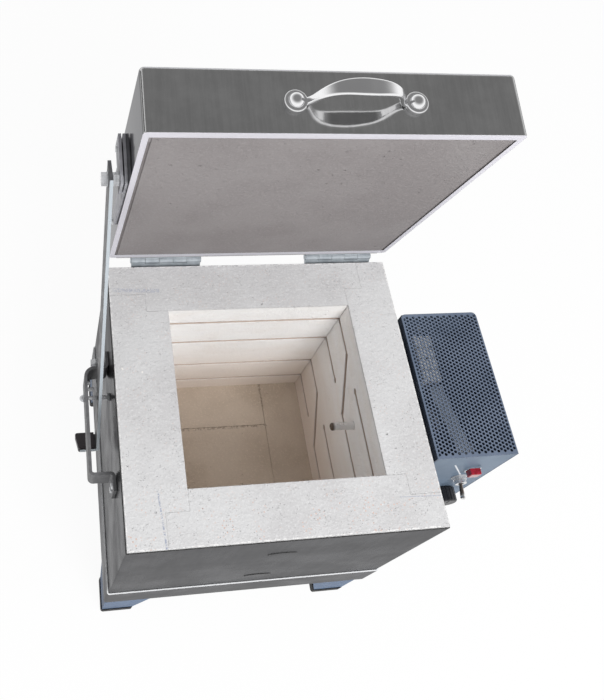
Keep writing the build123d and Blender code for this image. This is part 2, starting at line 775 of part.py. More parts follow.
# ---------------------------------------------------------------- heat regulator and knob
spindle_radius = 3.0
spindle_clearance = 0.08
knob_radius = 13.0
knob_length = 15.0
knob_gap = 1.2
knob_round = 2.5
knob_skirt = 4.0
flute_radius = 1.2
flute_count = 18
flute_offset = 0.5
pointer_width = 1.4
knob_grip_fit = 0.02
regulator_size = (38.0, 34.0, 38.0)
spindle_socket = 8.0
spindle_behind_panel = 0.6
spindle_start = panel_back + spindle_behind_panel
with BuildPart() as regulator_body:
    with Locations((control_x, panel_back, knob_z)):
        Box(*regulator_size, align=(Align.CENTER, Align.MIN, Align.CENTER))
    with BuildSketch(Plane((control_x, panel_back, knob_z), x_dir=(1, 0, 0), z_dir=(0, 1, 0))):
        Circle(spindle_radius + spindle_clearance)
    extrude(amount=spindle_socket, mode=Mode.SUBTRACT)
regulator_body.part.label = "regulator_body"
export_step(regulator_body.part.moved(to_frame), "parts/regulator_body.step")

with BuildPart() as regulator_spindle:
    with BuildSketch(Plane((control_x, spindle_start, knob_z), x_dir=(1, 0, 0), z_dir=(0, -1, 0))):
        Circle(spindle_radius)
    extrude(amount=spindle_start - panel_face + knob_gap + knob_length - knob_skirt)
regulator_spindle.part.label = "regulator_spindle"
export_step(regulator_spindle.part.moved(to_frame), "parts/regulator_spindle.step")

knob_back = panel_face - knob_gap
with BuildPart() as control_knob:
    with BuildSketch(Plane((control_x, knob_back, knob_z), x_dir=(1, 0, 0), z_dir=(0, -1, 0))):
        Circle(knob_radius)
    extrude(amount=knob_length)
    fillet(control_knob.faces().sort_by(Axis.Y)[0].edges(), knob_round)
    with BuildSketch(Plane((control_x, knob_back, knob_z), x_dir=(1, 0, 0), z_dir=(0, -1, 0))):
        with PolarLocations(knob_radius + flute_offset, flute_count):
            Circle(flute_radius)
    extrude(amount=knob_length, mode=Mode.SUBTRACT)
    with BuildSketch(Plane((control_x, knob_back, knob_z), x_dir=(1, 0, 0), z_dir=(0, -1, 0))):
        Circle(spindle_radius + knob_grip_fit)
    extrude(amount=knob_length - knob_skirt, mode=Mode.SUBTRACT)
    with Locations((control_x, knob_back - knob_length, knob_z + knob_radius * 0.55)):
        Box(pointer_width, pointer_width, knob_radius * 0.6, mode=Mode.SUBTRACT)
control_knob.part.label = "control_knob"
export_step(control_knob.part.moved(to_frame), "parts/control_knob.step")


# ---------------------------------------------------------------- cable gland
# Gland for the supply lead on the back of the control box, its seal closed.
gland_flats = 11.0
gland_thread = 12.0
gland_collar = 5.0
gland_lock_nut = 4.0
gland_cap_radius = 10.0
gland_cap_start = 6.0
gland_cap = 14.0
gland_cap_taper = 12.0
gland_mouth = 3.6
gland_mouth_depth = 3.0
with BuildPart() as cable_gland:
    with BuildSketch(Plane((gland_x, box_back_y - box_sheet, gland_z), z_dir=(0, 1, 0))):
        Circle(gland_radius)
    extrude(amount=box_sheet + gland_thread)
    with BuildSketch(Plane((gland_x, box_back_y, gland_z), z_dir=(0, 1, 0))):
        RegularPolygon(gland_flats, 6, major_radius=False)
    extrude(amount=gland_collar)
    with BuildSketch(Plane((gland_x, box_back_y + gland_cap_start, gland_z), z_dir=(0, 1, 0))):
        Circle(gland_cap_radius)
    extrude(amount=gland_cap, taper=gland_cap_taper)
    with BuildSketch(Plane((gland_x, box_back_y - box_sheet, gland_z), z_dir=(0, -1, 0))):
        RegularPolygon(gland_flats, 6, major_radius=False)
    extrude(amount=gland_lock_nut)
    gland_end = box_back_y + gland_cap_start + gland_cap
    with BuildSketch(Plane((gland_x, gland_end, gland_z), z_dir=(0, 1, 0))):
        Circle(gland_mouth)
    extrude(amount=-gland_mouth_depth, mode=Mode.SUBTRACT)
cable_gland.part.label = "cable_gland"
export_step(cable_gland.part.moved(to_frame), "parts/cable_gland.step")


# ---------------------------------------------------------------- lid frame
# The lid's own plane: origin on the hinge axis, x along it, y towards the back of the lid,
# z up through the lid when it is shut. Opening turns it back by lid_angle.
axis_y = case_y + hinge_setback
opening = radians(lid_angle)
lid_plane = Plane((0, axis_y, rim), x_dir=(1, 0, 0), z_dir=(0, sin(opening), cos(opening)))
lid_back = -lid_behind_axis
lid_front = -(axis_y + case_y + lid_front_overhang)
lid_depth = lid_back - lid_front
lid_bottom = lid_clearance
lid_left = -case_x + lid_left_inset
lid_right = case_x + lid_right_overhang
lid_width = lid_right - lid_left
lid_mid_x = (lid_left + lid_right) / 2
lid_mid_y = (lid_back + lid_front) / 2


def on_lid(x, y, z):
    """A point given in the lid's own plane, in the frame of the whole kiln."""
    return lid_plane.from_local_coords(Vector(x, y, z))


# ---------------------------------------------------------------- lid shell and bricks
# Folded steel pan, turned over. Its flange returns under the bricks and holds them in.
with BuildPart() as lid_shell:
    with BuildSketch(lid_plane.offset(lid_bottom)):
        with Locations((lid_mid_x, lid_mid_y)):
            RectangleRounded(lid_width, lid_depth, lid_corner)
    extrude(amount=lid_height)
    fillet(lid_shell.faces().sort_by(Axis(lid_plane.origin, lid_plane.z_dir))[-1].edges(), lid_corner * 0.9)
    with BuildSketch(lid_plane.offset(lid_bottom + lid_sheet)):
        with Locations((lid_mid_x, lid_mid_y)):
            Rectangle(lid_width - 2 * lid_sheet, lid_depth - 2 * lid_sheet)
    extrude(amount=lid_height - lid_corner - lid_sheet, mode=Mode.SUBTRACT)
    with BuildSketch(lid_plane.offset(lid_bottom - 1)):
        with Locations((lid_mid_x, lid_mid_y)):
            Rectangle(lid_width - 2 * lid_side_flange, lid_depth - 2 * lid_flange)
    extrude(amount=lid_sheet + 2, mode=Mode.SUBTRACT)
lid_shell.part.label = "lid_shell"
export_step(lid_shell.part.moved(to_frame), "parts/lid_shell.step")

lid_brick_left = lid_left + lid_sheet + brick_gap
lid_brick_right = lid_right - lid_sheet - brick_gap
lid_brick_back = lid_back - lid_sheet - brick_gap
lid_brick_front = lid_front + lid_sheet + brick_gap
lid_brick_bottom = lid_bottom + lid_sheet + contact
lid_brick_height = lid_height - lid_corner - lid_sheet - 2 * contact
lid_joint_left = lid_left + lid_left_column
lid_joint_right = lid_right - lid_right_column
lid_columns = (
    (lid_brick_left, lid_joint_left - brick_joint / 2, lid_back - lid_cross_left),
    (lid_joint_left + brick_joint / 2, lid_joint_right - brick_joint / 2, lid_back - lid_cross_right),
    (lid_joint_right + brick_joint / 2, lid_brick_right, lid_back - lid_cross_right),
)
with BuildPart() as lid_bricks:
    for x_low, x_high, cross_y in lid_columns:
        for y_low, y_high in (
            (lid_brick_front, cross_y - brick_joint / 2),
            (cross_y + brick_joint / 2, lid_brick_back),
        ):
            with BuildSketch(lid_plane.offset(lid_brick_bottom)):
                with Locations(((x_low + x_high) / 2, (y_low + y_high) / 2)):
                    Rectangle(x_high - x_low, y_high - y_low)
            extrude(amount=lid_brick_height)
lid_bricks.part.label = "lid_bricks"
export_step(lid_bricks.part.moved(to_frame), "parts/lid_bricks.step")


# ---------------------------------------------------------------- hinges
# Two butt hinges with cranked leaves: three knuckles on the case leaf, two on the lid leaf.
knuckle = (hinge_length - (knuckle_count - 1) * knuckle_gap) / knuckle_count
case_leaf_y = case_y + contact
lid_leaf_y = lid_back + contact
closed_frame = Plane((0, axis_y, rim), x_dir=(1, 0, 0), z_dir=(0, 0, 1))
hinge_left_x = -case_x + hinge_left_inset
hinge_right_x = case_x - hinge_right_inset


def hinge_leaf_part(frame, centre_x, face_y, side, places):
    """One leaf. side is -1 for the leaf below the axis and +1 for the leaf above it."""
    start_x = centre_x - hinge_length / 2
    section = Plane(
        frame.from_local_coords(Vector(start_x, 0, 0)),
        x_dir=frame.y_dir,
        z_dir=frame.x_dir,
    )
    neck = knuckle_radius + hinge_neck
    with BuildPart() as leaf:
        with BuildSketch(section):
            with BuildLine():
                Polyline(
                    (face_y, side * neck),
                    (-pin_radius - hinge_leaf, 0),
                    (-pin_radius, 0),
                    (0, side * pin_radius * 1.3),
                    (face_y + hinge_leaf, side * (neck + hinge_crank)),
                    (face_y + hinge_leaf, side * (neck + hinge_leaf_height)),
                    (face_y, side * (neck + hinge_leaf_height)),
                    close=True,
                )
            make_face()
        extrude(amount=hinge_length)
        with BuildSketch(section):
            Circle(knuckle_radius + knuckle_gap)
        extrude(amount=hinge_length, mode=Mode.SUBTRACT)
        for place in places:
            knuckle_start = place * (knuckle + knuckle_gap)
            with BuildSketch(section.offset(knuckle_start)):
                Circle(knuckle_radius)
                with BuildLine():
                    Polyline(
                        (face_y, side * neck),
                        (-knuckle_radius, 0),
                        (0, side * knuckle_radius),
                        (face_y + hinge_leaf, side * (neck + hinge_crank)),
                        close=True,
                    )
                make_face()
            extrude(amount=knuckle)
        with BuildSketch(section):
            Circle(pin_radius + pin_clearance)
        extrude(amount=hinge_length, mode=Mode.SUBTRACT)
    return leaf.part


leaf_gap = case_leaf_y - axis_y
for hinge_side, hinge_x in (("left", hinge_left_x), ("right", hinge_right_x)):
    case_leaf = hinge_leaf_part(closed_frame, hinge_x, leaf_gap, -1, (0, 2, 4))
    case_leaf.label = f"hinge_{hinge_side}_case_leaf"
    export_step(case_leaf.moved(to_frame), f"parts/hinge_{hinge_side}_case_leaf.step")
    lid_leaf = hinge_leaf_part(lid_plane, hinge_x, lid_leaf_y, 1, (1, 3))
    lid_leaf.label = f"hinge_{hinge_side}_lid_leaf"
    export_step(lid_leaf.moved(to_frame), f"parts/hinge_{hinge_side}_lid_leaf.step")

with BuildPart() as hinge_pins:
    for hinge_x in (hinge_left_x, hinge_right_x):
        with BuildSketch(Plane((hinge_x - hinge_length / 2, axis_y, rim), z_dir=(1, 0, 0))):
            Circle(pin_radius)
        extrude(amount=hinge_length)
        for end_x, outward in ((-hinge_length / 2, -1), (hinge_length / 2, 1)):
            with BuildSketch(Plane((hinge_x + end_x + outward * contact, axis_y, rim), z_dir=(outward, 0, 0))):
                Circle(knuckle_radius * 0.85)
            extrude(amount=pin_head)
            with BuildSketch(Plane((hinge_x + end_x, axis_y, rim), z_dir=(outward, 0, 0))):
                Circle(pin_radius)
            extrude(amount=contact)
hinge_pins.part.label = "hinge_pins"
export_step(hinge_pins.part.moved(to_frame), "parts/hinge_pins.step")

leaf_screw_x = hinge_length * 0.32
leaf_screw_z = knuckle_radius + hinge_neck + hinge_leaf_height * 0.58
with BuildPart() as hinge_case_screws:
    for hinge_x in (hinge_left_x, hinge_right_x):
        for screw_x in (-leaf_screw_x, 0, leaf_screw_x):
            head_plane = Plane(
                (hinge_x + screw_x, case_leaf_y + hinge_leaf + contact, rim - leaf_screw_z),
                z_dir=(0, 1, 0),
            )
            with BuildSketch(head_plane):
                Circle(screw_head_radius)
            extrude(amount=screw_head_height, taper=25)
hinge_case_screws.part.label = "hinge_case_screws"
export_step(hinge_case_screws.part.moved(to_frame), "parts/hinge_case_screws.step")

with BuildPart() as hinge_lid_screws:
    for hinge_x in (hinge_left_x, hinge_right_x):
        for screw_x in (-leaf_screw_x, 0, leaf_screw_x):
            head_plane = Plane(
                on_lid(hinge_x + screw_x, lid_leaf_y + hinge_leaf + contact, leaf_screw_z),
                z_dir=lid_plane.y_dir,
            )
            with BuildSketch(head_plane):
                Circle(screw_head_radius)
            extrude(amount=screw_head_height, taper=25)
hinge_lid_screws.part.label = "hinge_lid_screws"
export_step(hinge_lid_screws.part.moved(to_frame), "parts/hinge_lid_screws.step")


# ---------------------------------------------------------------- handle
# Cast bow handle on the lid's front, with a round boss at each end.
handle_plane = Plane(
    on_lid(handle_x, lid_front - contact, lid_bottom + handle_t),
    x_dir=(1, 0, 0),
    z_dir=-lid_plane.y_dir,
)
handle_side = Plane(handle_plane.origin, x_dir=(1, 0, 0), z_dir=-handle_plane.y_dir)
bow_out, bow_up = handle_side.x_dir, handle_side.y_dir
half_span = handle_centres / 2
bow_end = half_span - boss_radius + bow_root
crown_edge = handle_rise - crown_drop
bow_shares = (0, 0.1, 0.2, 0.3, 0.4, 0.5, 0.6, 0.7, 0.8, 0.9, 1)
with BuildPart() as handle:
    with BuildLine(handle_side) as bow:
        Spline(
            (-bow_end, boss_height / 2),
            (-crown_half, crown_edge),
            (0, handle_rise),
            (crown_half, crown_edge),
            (bow_end, boss_height / 2),
            tangents=(bow_out + bow_up * bow_slope, bow_out - bow_up * bow_slope),
        )
    for share in bow_shares:
        with BuildSketch(Plane(bow.line @ share, x_dir=handle_plane.y_dir, z_dir=bow.line % share)):
            RectangleRounded(
                handle_neck + (handle_width - handle_neck) * sin(pi * share) ** 2,
                handle_thickness,
                handle_thickness * 0.42,
            )
    loft()
    for end_x in (-half_span, half_span):
        with BuildSketch(handle_side):
            with BuildLine():
                Line((end_x, 0), (end_x + boss_radius, 0))
                Line((end_x + boss_radius, 0), (end_x + boss_radius, boss_height - boss_round))
                RadiusArc(
                    (end_x + boss_radius, boss_height - boss_round),
                    (end_x + boss_radius - boss_round, boss_height),
                    -boss_round,
                )
                Line((end_x + boss_radius - boss_round, boss_height), (end_x, boss_height))
                Line((end_x, boss_height), (end_x, 0))
            make_face()
        boss_origin = handle_plane.from_local_coords(Vector(end_x, 0, 0))
        revolve(axis=Axis(boss_origin, handle_plane.z_dir))
handle.part.label = "handle"
export_step(handle.part.moved(to_frame), "parts/handle.step")

# A polished dome covers the screw in each boss.
dome_sphere = (dome_radius**2 + dome_height**2) / (2 * dome_height)
dome_latitude = degrees(asin((dome_sphere - dome_height) / dome_sphere))
with BuildPart() as handle_screws:
    for end_x in (-half_span, half_span):
        with Locations(handle_plane.offset(boss_height + contact)):
            with Locations((end_x, 0)):
                Sphere(dome_sphere, arc_size1=dome_latitude, align=base_align)
handle_screws.part.label = "handle_screws"
export_step(handle_screws.part.moved(to_frame), "parts/handle_screws.step")


# ---------------------------------------------------------------- lid bracket for the prop
# Folded plate on the lid's left wall. The prop's pivot bolt passes through both layers.
pivot_y = lid_back - prop_pivot_s
pivot_z = lid_bottom + prop_pivot_t
bracket_face = lid_left - contact
bracket_front = pivot_y - bracket_past_pivot
bracket_back = lid_back - bracket_rear_s
bracket_rise = 2.0
tail_rise = 2.0
tail_width = 12.0
bracket_low = lid_bottom + bracket_rise
bracket_high = bracket_low + bracket_height
bracket_waist = bracket_front + 2 * bracket_outer_width
tail_low = bracket_low + tail_rise
tail_high = tail_low + tail_width
web_width = 3.0
bracket_plane = Plane(on_lid(bracket_face, 0, 0), x_dir=lid_plane.y_dir, z_dir=(-1, 0, 0))
up = -1 if bracket_plane.y_dir.dot(lid_plane.z_dir) < 0 else 1
bracket_depth = 2 * bracket_plate + bracket_gap
with BuildPart() as lid_bracket:
    with BuildSketch(bracket_plane):
        with BuildLine():
            Polyline(
                (bracket_front, up * bracket_low),
                (bracket_front, up * bracket_high),
                (bracket_front + bracket_outer_width + web_width, up * bracket_high),
                (bracket_waist, up * (tail_high + web_width)),
                (bracket_back, up * tail_high),
                (bracket_back, up * tail_low),
                (bracket_waist, up * bracket_low),
                close=True,
            )
        make_face()
    extrude(amount=bracket_plate)
    with BuildSketch(bracket_plane.offset(bracket_plate + bracket_gap)):
        with Locations((bracket_front + bracket_outer_width / 2, up * (bracket_low + bracket_high) / 2)):
            Rectangle(bracket_outer_width, bracket_height)
    extrude(amount=bracket_plate)
    with BuildSketch(bracket_plane):
        with Locations((bracket_front + bracket_outer_width - web_width / 2, up * (bracket_low + bracket_high) / 2)):
            Rectangle(web_width, bracket_height)
    extrude(amount=bracket_depth)
    with Locations(bracket_plane):
        with Locations((pivot_y, up * pivot_z)):
            Cylinder(pivot_radius + contact, 4 * bracket_depth, mode=Mode.SUBTRACT)
lid_bracket.part.label = "lid_bracket"
export_step(lid_bracket.part.moved(to_frame), "parts/lid_bracket.step")

tail_screw_inset = 7.0
waist_screw_inset = 10.0
outer_screw_inset = 9.0
bracket_screw_places = (
    (bracket_back + tail_screw_inset, (tail_low + tail_high) / 2, bracket_plate),
    (bracket_waist - waist_screw_inset, tail_high, bracket_plate),
    (bracket_front + bracket_outer_width / 2, bracket_high - outer_screw_inset, bracket_depth),
)
with BuildPart() as bracket_screws:
    for screw_y, screw_z, on_layer in bracket_screw_places:
        with BuildSketch(bracket_plane.offset(on_layer)):
            with Locations((screw_y, up * screw_z)):
                Circle(screw_head_radius)
        extrude(amount=screw_head_height, taper=20)
bracket_screws.part.label = "bracket_screws"
export_step(bracket_screws.part.moved(to_frame), "parts/bracket_screws.step")


# ---------------------------------------------------------------- prop pivot bolt
# Hex bolt along X, two spacer nuts between bracket and arm, head outside the arm.
arm_inner_x = -case_x - arm_stand_off
arm_outer_x = arm_inner_x - arm_thickness
pivot_point = on_lid(0, pivot_y, pivot_z)
nut_start = bracket_face - bracket_depth
nut_room = nut_start - arm_inner_x
nut_length = nut_room / 2 - 2 * contact
bolt_flats = 5.0
bolt_head = 4.4
bolt_washer_radius = 6.5
bolt_washer = 1.2
with BuildPart() as pivot_bolt:
    with BuildSketch(Plane((bracket_face - contact, pivot_point.Y, pivot_point.Z), z_dir=(-1, 0, 0))):
        Circle(pivot_radius)
    extrude(amount=bracket_face - arm_outer_x + bolt_washer)
    with BuildSketch(Plane((arm_outer_x - 2 * contact, pivot_point.Y, pivot_point.Z), z_dir=(-1, 0, 0))):
        Circle(bolt_washer_radius)
    extrude(amount=bolt_washer)
    head_x = arm_outer_x - 2 * contact - bolt_washer
    with BuildSketch(Plane((head_x, pivot_point.Y, pivot_point.Z), z_dir=(-1, 0, 0))):
        RegularPolygon(bolt_flats, 6, major_radius=False)
    extrude(amount=bolt_head)
pivot_bolt.part.label = "pivot_bolt"
export_step(pivot_bolt.part.moved(to_frame), "parts/pivot_bolt.step")

with BuildPart() as pivot_nuts:
    for place in (0, 1):
        nut_x = nut_start - contact - place * (nut_length + contact)
        with BuildSketch(Plane((nut_x, pivot_point.Y, pivot_point.Z), z_dir=(-1, 0, 0))):
            RegularPolygon(bolt_flats, 6, major_radius=False)
            Circle(pivot_radius + contact, mode=Mode.SUBTRACT)
        extrude(amount=nut_length)
pivot_nuts.part.label = "pivot_nuts"
export_step(pivot_nuts.part.moved(to_frame), "parts/pivot_nuts.step")


# ---------------------------------------------------------------- prop strap and rod
# U-shaped flat strap on the case's left wall. The rod crosses it, and the arm's notch
# rests on the rod while the lid is open.
rod_z = rim - rod_drop
strap_outer_x = -case_x - strap_stand_off - strap_thickness
strap_middle_x = strap_outer_x + strap_thickness / 2
strap_foot_x = -case_x - contact - strap_thickness / 2
strap_mid_z = rim - strap_top_drop - strap_height / 2
front_leg_y = strap_front_y + strap_thickness / 2
back_leg_y = strap_back_y - strap_thickness / 2
foot_bend = strap_thickness * 1.2
with BuildPart() as prop_strap:
    with BuildLine() as strap_path:
        FilletPolyline(
            (strap_foot_x, front_leg_y - strap_foot, strap_mid_z),
            (strap_foot_x, front_leg_y, strap_mid_z),
            (strap_middle_x, front_leg_y, strap_mid_z),
            (strap_middle_x, back_leg_y, strap_mid_z),
            (strap_foot_x, back_leg_y, strap_mid_z),
            (strap_foot_x, back_leg_y + strap_foot, strap_mid_z),
            radius=[foot_bend, foot_bend, strap_rear_bend, foot_bend],
        )
    strap_start = Plane((strap_foot_x, front_leg_y - strap_foot, strap_mid_z), x_dir=(1, 0, 0), z_dir=(0, 1, 0))
    with BuildSketch(strap_start):
        Rectangle(strap_thickness, strap_height)
    sweep(path=strap_path.line)
    with Locations(Plane((strap_middle_x, rod_y, rod_z), z_dir=(1, 0, 0))):
        Cylinder(rod_radius + contact, 3 * strap_thickness, mode=Mode.SUBTRACT)
prop_strap.part.label = "prop_strap"
export_step(prop_strap.part.moved(to_frame), "parts/prop_strap.step")

with BuildPart() as prop_rod:
    with BuildSketch(Plane((-case_x - contact, rod_y, rod_z), z_dir=(-1, 0, 0))):
        Circle(rod_radius)
    extrude(amount=-case_x - contact - strap_outer_x + cap_nut_height)
    with BuildSketch(Plane((-case_x - contact, rod_y, rod_z), z_dir=(-1, 0, 0))):
        RegularPolygon(rod_nut_flats, 6, major_radius=False)
    extrude(amount=rod_nut_height)
prop_rod.part.label = "prop_rod"
export_step(prop_rod.part.moved(to_frame), "parts/prop_rod.step")

with BuildPart() as rod_cap_nut:
    with BuildSketch(Plane((strap_outer_x - contact, rod_y, rod_z), z_dir=(-1, 0, 0))):
        RegularPolygon(cap_nut_flats, 6, major_radius=False)
    extrude(amount=cap_nut_height)
    with Locations(Plane((strap_outer_x - contact - cap_nut_height, rod_y, rod_z), z_dir=(-1, 0, 0))):
        Sphere(cap_nut_flats - contact, arc_size1=0, align=base_align)
    with BuildSketch(Plane((strap_outer_x - contact, rod_y, rod_z), z_dir=(-1, 0, 0))):
        Circle(rod_radius + contact)
    extrude(amount=cap_nut_height, mode=Mode.SUBTRACT)
rod_cap_nut.part.label = "rod_cap_nut"
export_step(rod_cap_nut.part.moved(to_frame), "parts/rod_cap_nut.step")

# Screws of the strap's two feet, two small studs inside it and the bolt in its rear leg.
foot_face_x = -case_x - contact - strap_thickness
foot_screw_front = front_leg_y - strap_foot * 0.6
foot_screw_back = back_leg_y + strap_foot * 0.6
foot_screw_spread = 7.0
stud_radius = 2.0
stud_places = ((14.0, 4.0, 3.0), (19.0, 0.0, 7.0))
leg_bolt_x = strap_middle_x + strap_stand_off / 2
leg_bolt_steps = ((4.2, 3.5), (2.5, 3.0), (4.6, 5.5))
with BuildPart() as strap_screws:
    for screw_y, screw_z in (
        (foot_screw_front, strap_mid_z + foot_screw_spread),
        (foot_screw_front, strap_mid_z - foot_screw_spread),
        (foot_screw_back, strap_mid_z),
    ):
        with BuildSketch(Plane((foot_face_x, screw_y, screw_z), z_dir=(-1, 0, 0))):
            Circle(screw_head_radius)
        extrude(amount=screw_head_height, taper=15)
    for stud_inset, stud_rise, stud_reach in stud_places:
        stud_origin = (strap_outer_x + strap_thickness, strap_back_y - stud_inset, strap_mid_z + stud_rise)
        with BuildSketch(Plane(stud_origin, z_dir=(1, 0, 0))):
            Circle(stud_radius)
        extrude(amount=stud_reach)
    leg_bolt_y = strap_back_y
    for step_flats, step_length in leg_bolt_steps:
        with BuildSketch(Plane((leg_bolt_x, leg_bolt_y, strap_mid_z), z_dir=(0, 1, 0))):
            RegularPolygon(step_flats, 6, major_radius=False)
        extrude(amount=step_length)
        leg_bolt_y += step_length
strap_screws.part.label = "strap_screws"
export_step(strap_screws.part.moved(to_frame), "parts/strap_screws.step")


# ---------------------------------------------------------------- prop arm and grip
# Flat bar from the lid's pivot past the rod. A slanting notch in its rear edge seats the
# rod, and its lower end is bent outwards into a tab that carries the grip.
to_rod_y, to_rod_z = rod_y - pivot_point.Y, rod_z - pivot_point.Z
rod_distance = hypot(to_rod_y, to_rod_z)
arm_direction = atan2(to_rod_z, to_rod_y) - asin(arm_rod_offset / rod_distance)
arm_along = (0, cos(arm_direction), sin(arm_direction))
arm_plane = Plane((arm_inner_x, pivot_point.Y, pivot_point.Z), x_dir=arm_along, z_dir=(-1, 0, 0))
seat_x = sqrt(rod_distance**2 - arm_rod_offset**2)
notch_turn = radians(notch_angle)
notch_mid = (
    seat_x - cos(notch_turn) * notch_length / 2,
    -arm_rod_offset - sin(notch_turn) * notch_length / 2,
)
half_arm = arm_width / 2
arm_length = seat_x + arm_past_rod
tab_rear = half_arm - tab_width
with BuildPart() as prop_arm:
    with BuildSketch(arm_plane):
        with BuildLine():
            Polyline(
                (-arm_top_front, half_arm),
                (arm_length, half_arm),
                (arm_length, tab_rear),
                (arm_length - tab_narrowing, tab_rear),
                (arm_length - 2 * tab_narrowing, -half_arm),
                (-arm_top_rear, -half_arm),
                close=True,
            )
        make_face()
        Circle(pivot_radius + pivot_clearance, mode=Mode.SUBTRACT)
        with Locations(notch_mid):
            SlotCenterToCenter(
                notch_length,
                2 * (rod_radius + notch_clearance),
                rotation=notch_angle,
                mode=Mode.SUBTRACT,
            )
    extrude(amount=arm_thickness)
    tab_plane = Plane(
        arm_plane.from_local_coords(Vector(arm_length, 0, 0)),
        x_dir=(-1, 0, 0),
        z_dir=-arm_plane.x_dir,
    )
    with BuildSketch(tab_plane):
        with BuildLine():
            Polyline(
                (0, half_arm),
                (tab_reach - tab_slant, half_arm),
                (tab_reach, tab_rear),
                (0, tab_rear),
                close=True,
            )
        make_face()
    extrude(amount=arm_thickness)
    arm_bend = prop_arm.edges().filter_by(
        lambda edge: abs(arm_plane.to_local_coords(edge.center()).Z) < contact
        and arm_plane.to_local_coords(edge.center()).X > arm_length - contact
    )
    fillet(arm_bend, arm_thickness * 0.9)
prop_arm.part.label = "prop_arm"
export_step(prop_arm.part.moved(to_frame), "parts/prop_arm.step")

# The grip is moulded round the tab and leaves the tab's front edge bare.
grip_start = arm_thickness + grip_wall
grip_front = half_arm - grip_open_edge
with BuildPart() as prop_grip:
    with BuildSketch(tab_plane.offset(-grip_wall)):
        with BuildLine():
            Polyline(
                (grip_start, grip_front),
                (tab_reach - tab_slant + grip_wall, grip_front),
                (tab_reach + grip_wall, tab_rear - grip_wall),
                (grip_start, tab_rear - grip_wall),
                close=True,
            )
        make_face()
    extrude(amount=arm_thickness + 2 * grip_wall)
    grip_corners = prop_grip.edges().filter_by(Axis(tab_plane.origin, tab_plane.z_dir))
    fillet(grip_corners.sort_by(Axis(tab_plane.origin, tab_plane.x_dir))[-2:], grip_round)
    with BuildSketch(tab_plane.offset(-grip_fit)):
        with BuildLine():
            Polyline(
                (0, half_arm),
                (tab_reach - tab_slant + grip_fit, half_arm),
                (tab_reach + grip_fit, tab_rear - grip_fit),
                (0, tab_rear - grip_fit),
                close=True,
            )
        make_face()
    extrude(amount=arm_thickness + 2 * grip_fit, mode=Mode.SUBTRACT)
prop_grip.part.label = "prop_grip"
export_step(prop_grip.part.moved(to_frame), "parts/prop_grip.step")
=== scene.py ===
"""Looks of a small top-loading jewellery kiln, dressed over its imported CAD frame."""
import math

import bmesh
import bpy
from mathutils import Matrix, Vector


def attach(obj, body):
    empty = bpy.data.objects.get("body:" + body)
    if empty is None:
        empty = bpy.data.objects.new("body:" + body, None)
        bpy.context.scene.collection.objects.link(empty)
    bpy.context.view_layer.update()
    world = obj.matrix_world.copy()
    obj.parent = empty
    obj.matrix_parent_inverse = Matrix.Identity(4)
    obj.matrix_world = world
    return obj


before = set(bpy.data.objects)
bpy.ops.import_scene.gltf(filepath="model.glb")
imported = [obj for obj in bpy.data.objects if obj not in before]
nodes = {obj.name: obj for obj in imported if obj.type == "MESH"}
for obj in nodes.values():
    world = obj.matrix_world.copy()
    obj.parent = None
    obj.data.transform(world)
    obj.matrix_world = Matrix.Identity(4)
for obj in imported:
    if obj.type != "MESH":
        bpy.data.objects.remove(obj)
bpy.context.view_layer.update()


# ---------------------------------------------------------------- viewpoint
# The camera stands where the photographer stood, high over the kiln's front left corner,
# and looks steeply down into the open chamber. Its shift follows the photograph's crop.
# All places in this file are measured from the middle of the case, on the bench.
case_middle = Vector((-0.0295, -0.0280, 0.0))
image_width, image_height = 604, 700
long_side = max(image_width, image_height)
sensor_width = 36.0
focal_pixels = 851.16
optical_centre = (185.0, 240.0)
camera_place = Vector((-0.2285, -0.2824, 1.0724))
look_turn = Vector((2.5921, -0.0848, 0.2323))

camera = bpy.data.objects.new("camera", bpy.data.cameras.new("camera"))
bpy.context.scene.collection.objects.link(camera)
bpy.context.scene.camera = camera
world_to_lens = Matrix.Rotation(look_turn.length, 3, look_turn.normalized())
lens_to_world = world_to_lens.transposed() @ Matrix.Diagonal((1, -1, -1))
camera.matrix_world = Matrix.Translation(case_middle + camera_place) @ lens_to_world.to_4x4()
camera.data.sensor_width = sensor_width
camera.data.lens = focal_pixels / long_side * sensor_width
camera.data.shift_x = (image_width / 2 - optical_centre[0]) / long_side
camera.data.shift_y = (optical_centre[1] - image_height / 2) / long_side
camera.data.clip_start = 0.01


# ---------------------------------------------------------------- finishes
# A finish is one procedural material. Its texture sums are written as plain expressions
# on shader sockets, and all of them use the object's own metres as their coordinates.
class Value:
    """A shader socket that adds, scales and compares like a number."""

    def __init__(self, shading, socket):
        self.shading = shading
        self.socket = socket

    def maths(self, operation, *terms):
        return self.shading.node("Math", {"operation": operation}, dict(enumerate(terms)))

    def __add__(self, other):
        return self.maths("ADD", self, other)

    def __radd__(self, other):
        return self.maths("ADD", other, self)

    def __sub__(self, other):
        return self.maths("SUBTRACT", self, other)

    def __rsub__(self, other):
        return self.maths("SUBTRACT", other, self)

    def __mul__(self, other):
        return self.maths("MULTIPLY", self, other)

    def __rmul__(self, other):
        return self.maths("MULTIPLY", other, self)

    def __abs__(self):
        return self.maths("ABSOLUTE", self)

    def rise(self, low, high, bottom=0.0, top=1.0):
        """bottom below low, top above high, and a smooth step between them."""
        terms = {"Value": self, "From Min": low, "From Max": high, "To Min": bottom, "To Max": top}
        return self.shading.node("MapRange", {"interpolation_type": "SMOOTHSTEP"}, terms)

    def near(self, middle, reach, fade):
        """1 within reach of the middle value, down to 0 over the fade beyond it."""
        return abs(self - middle).rise(reach, reach + fade, 1.0, 0.0)


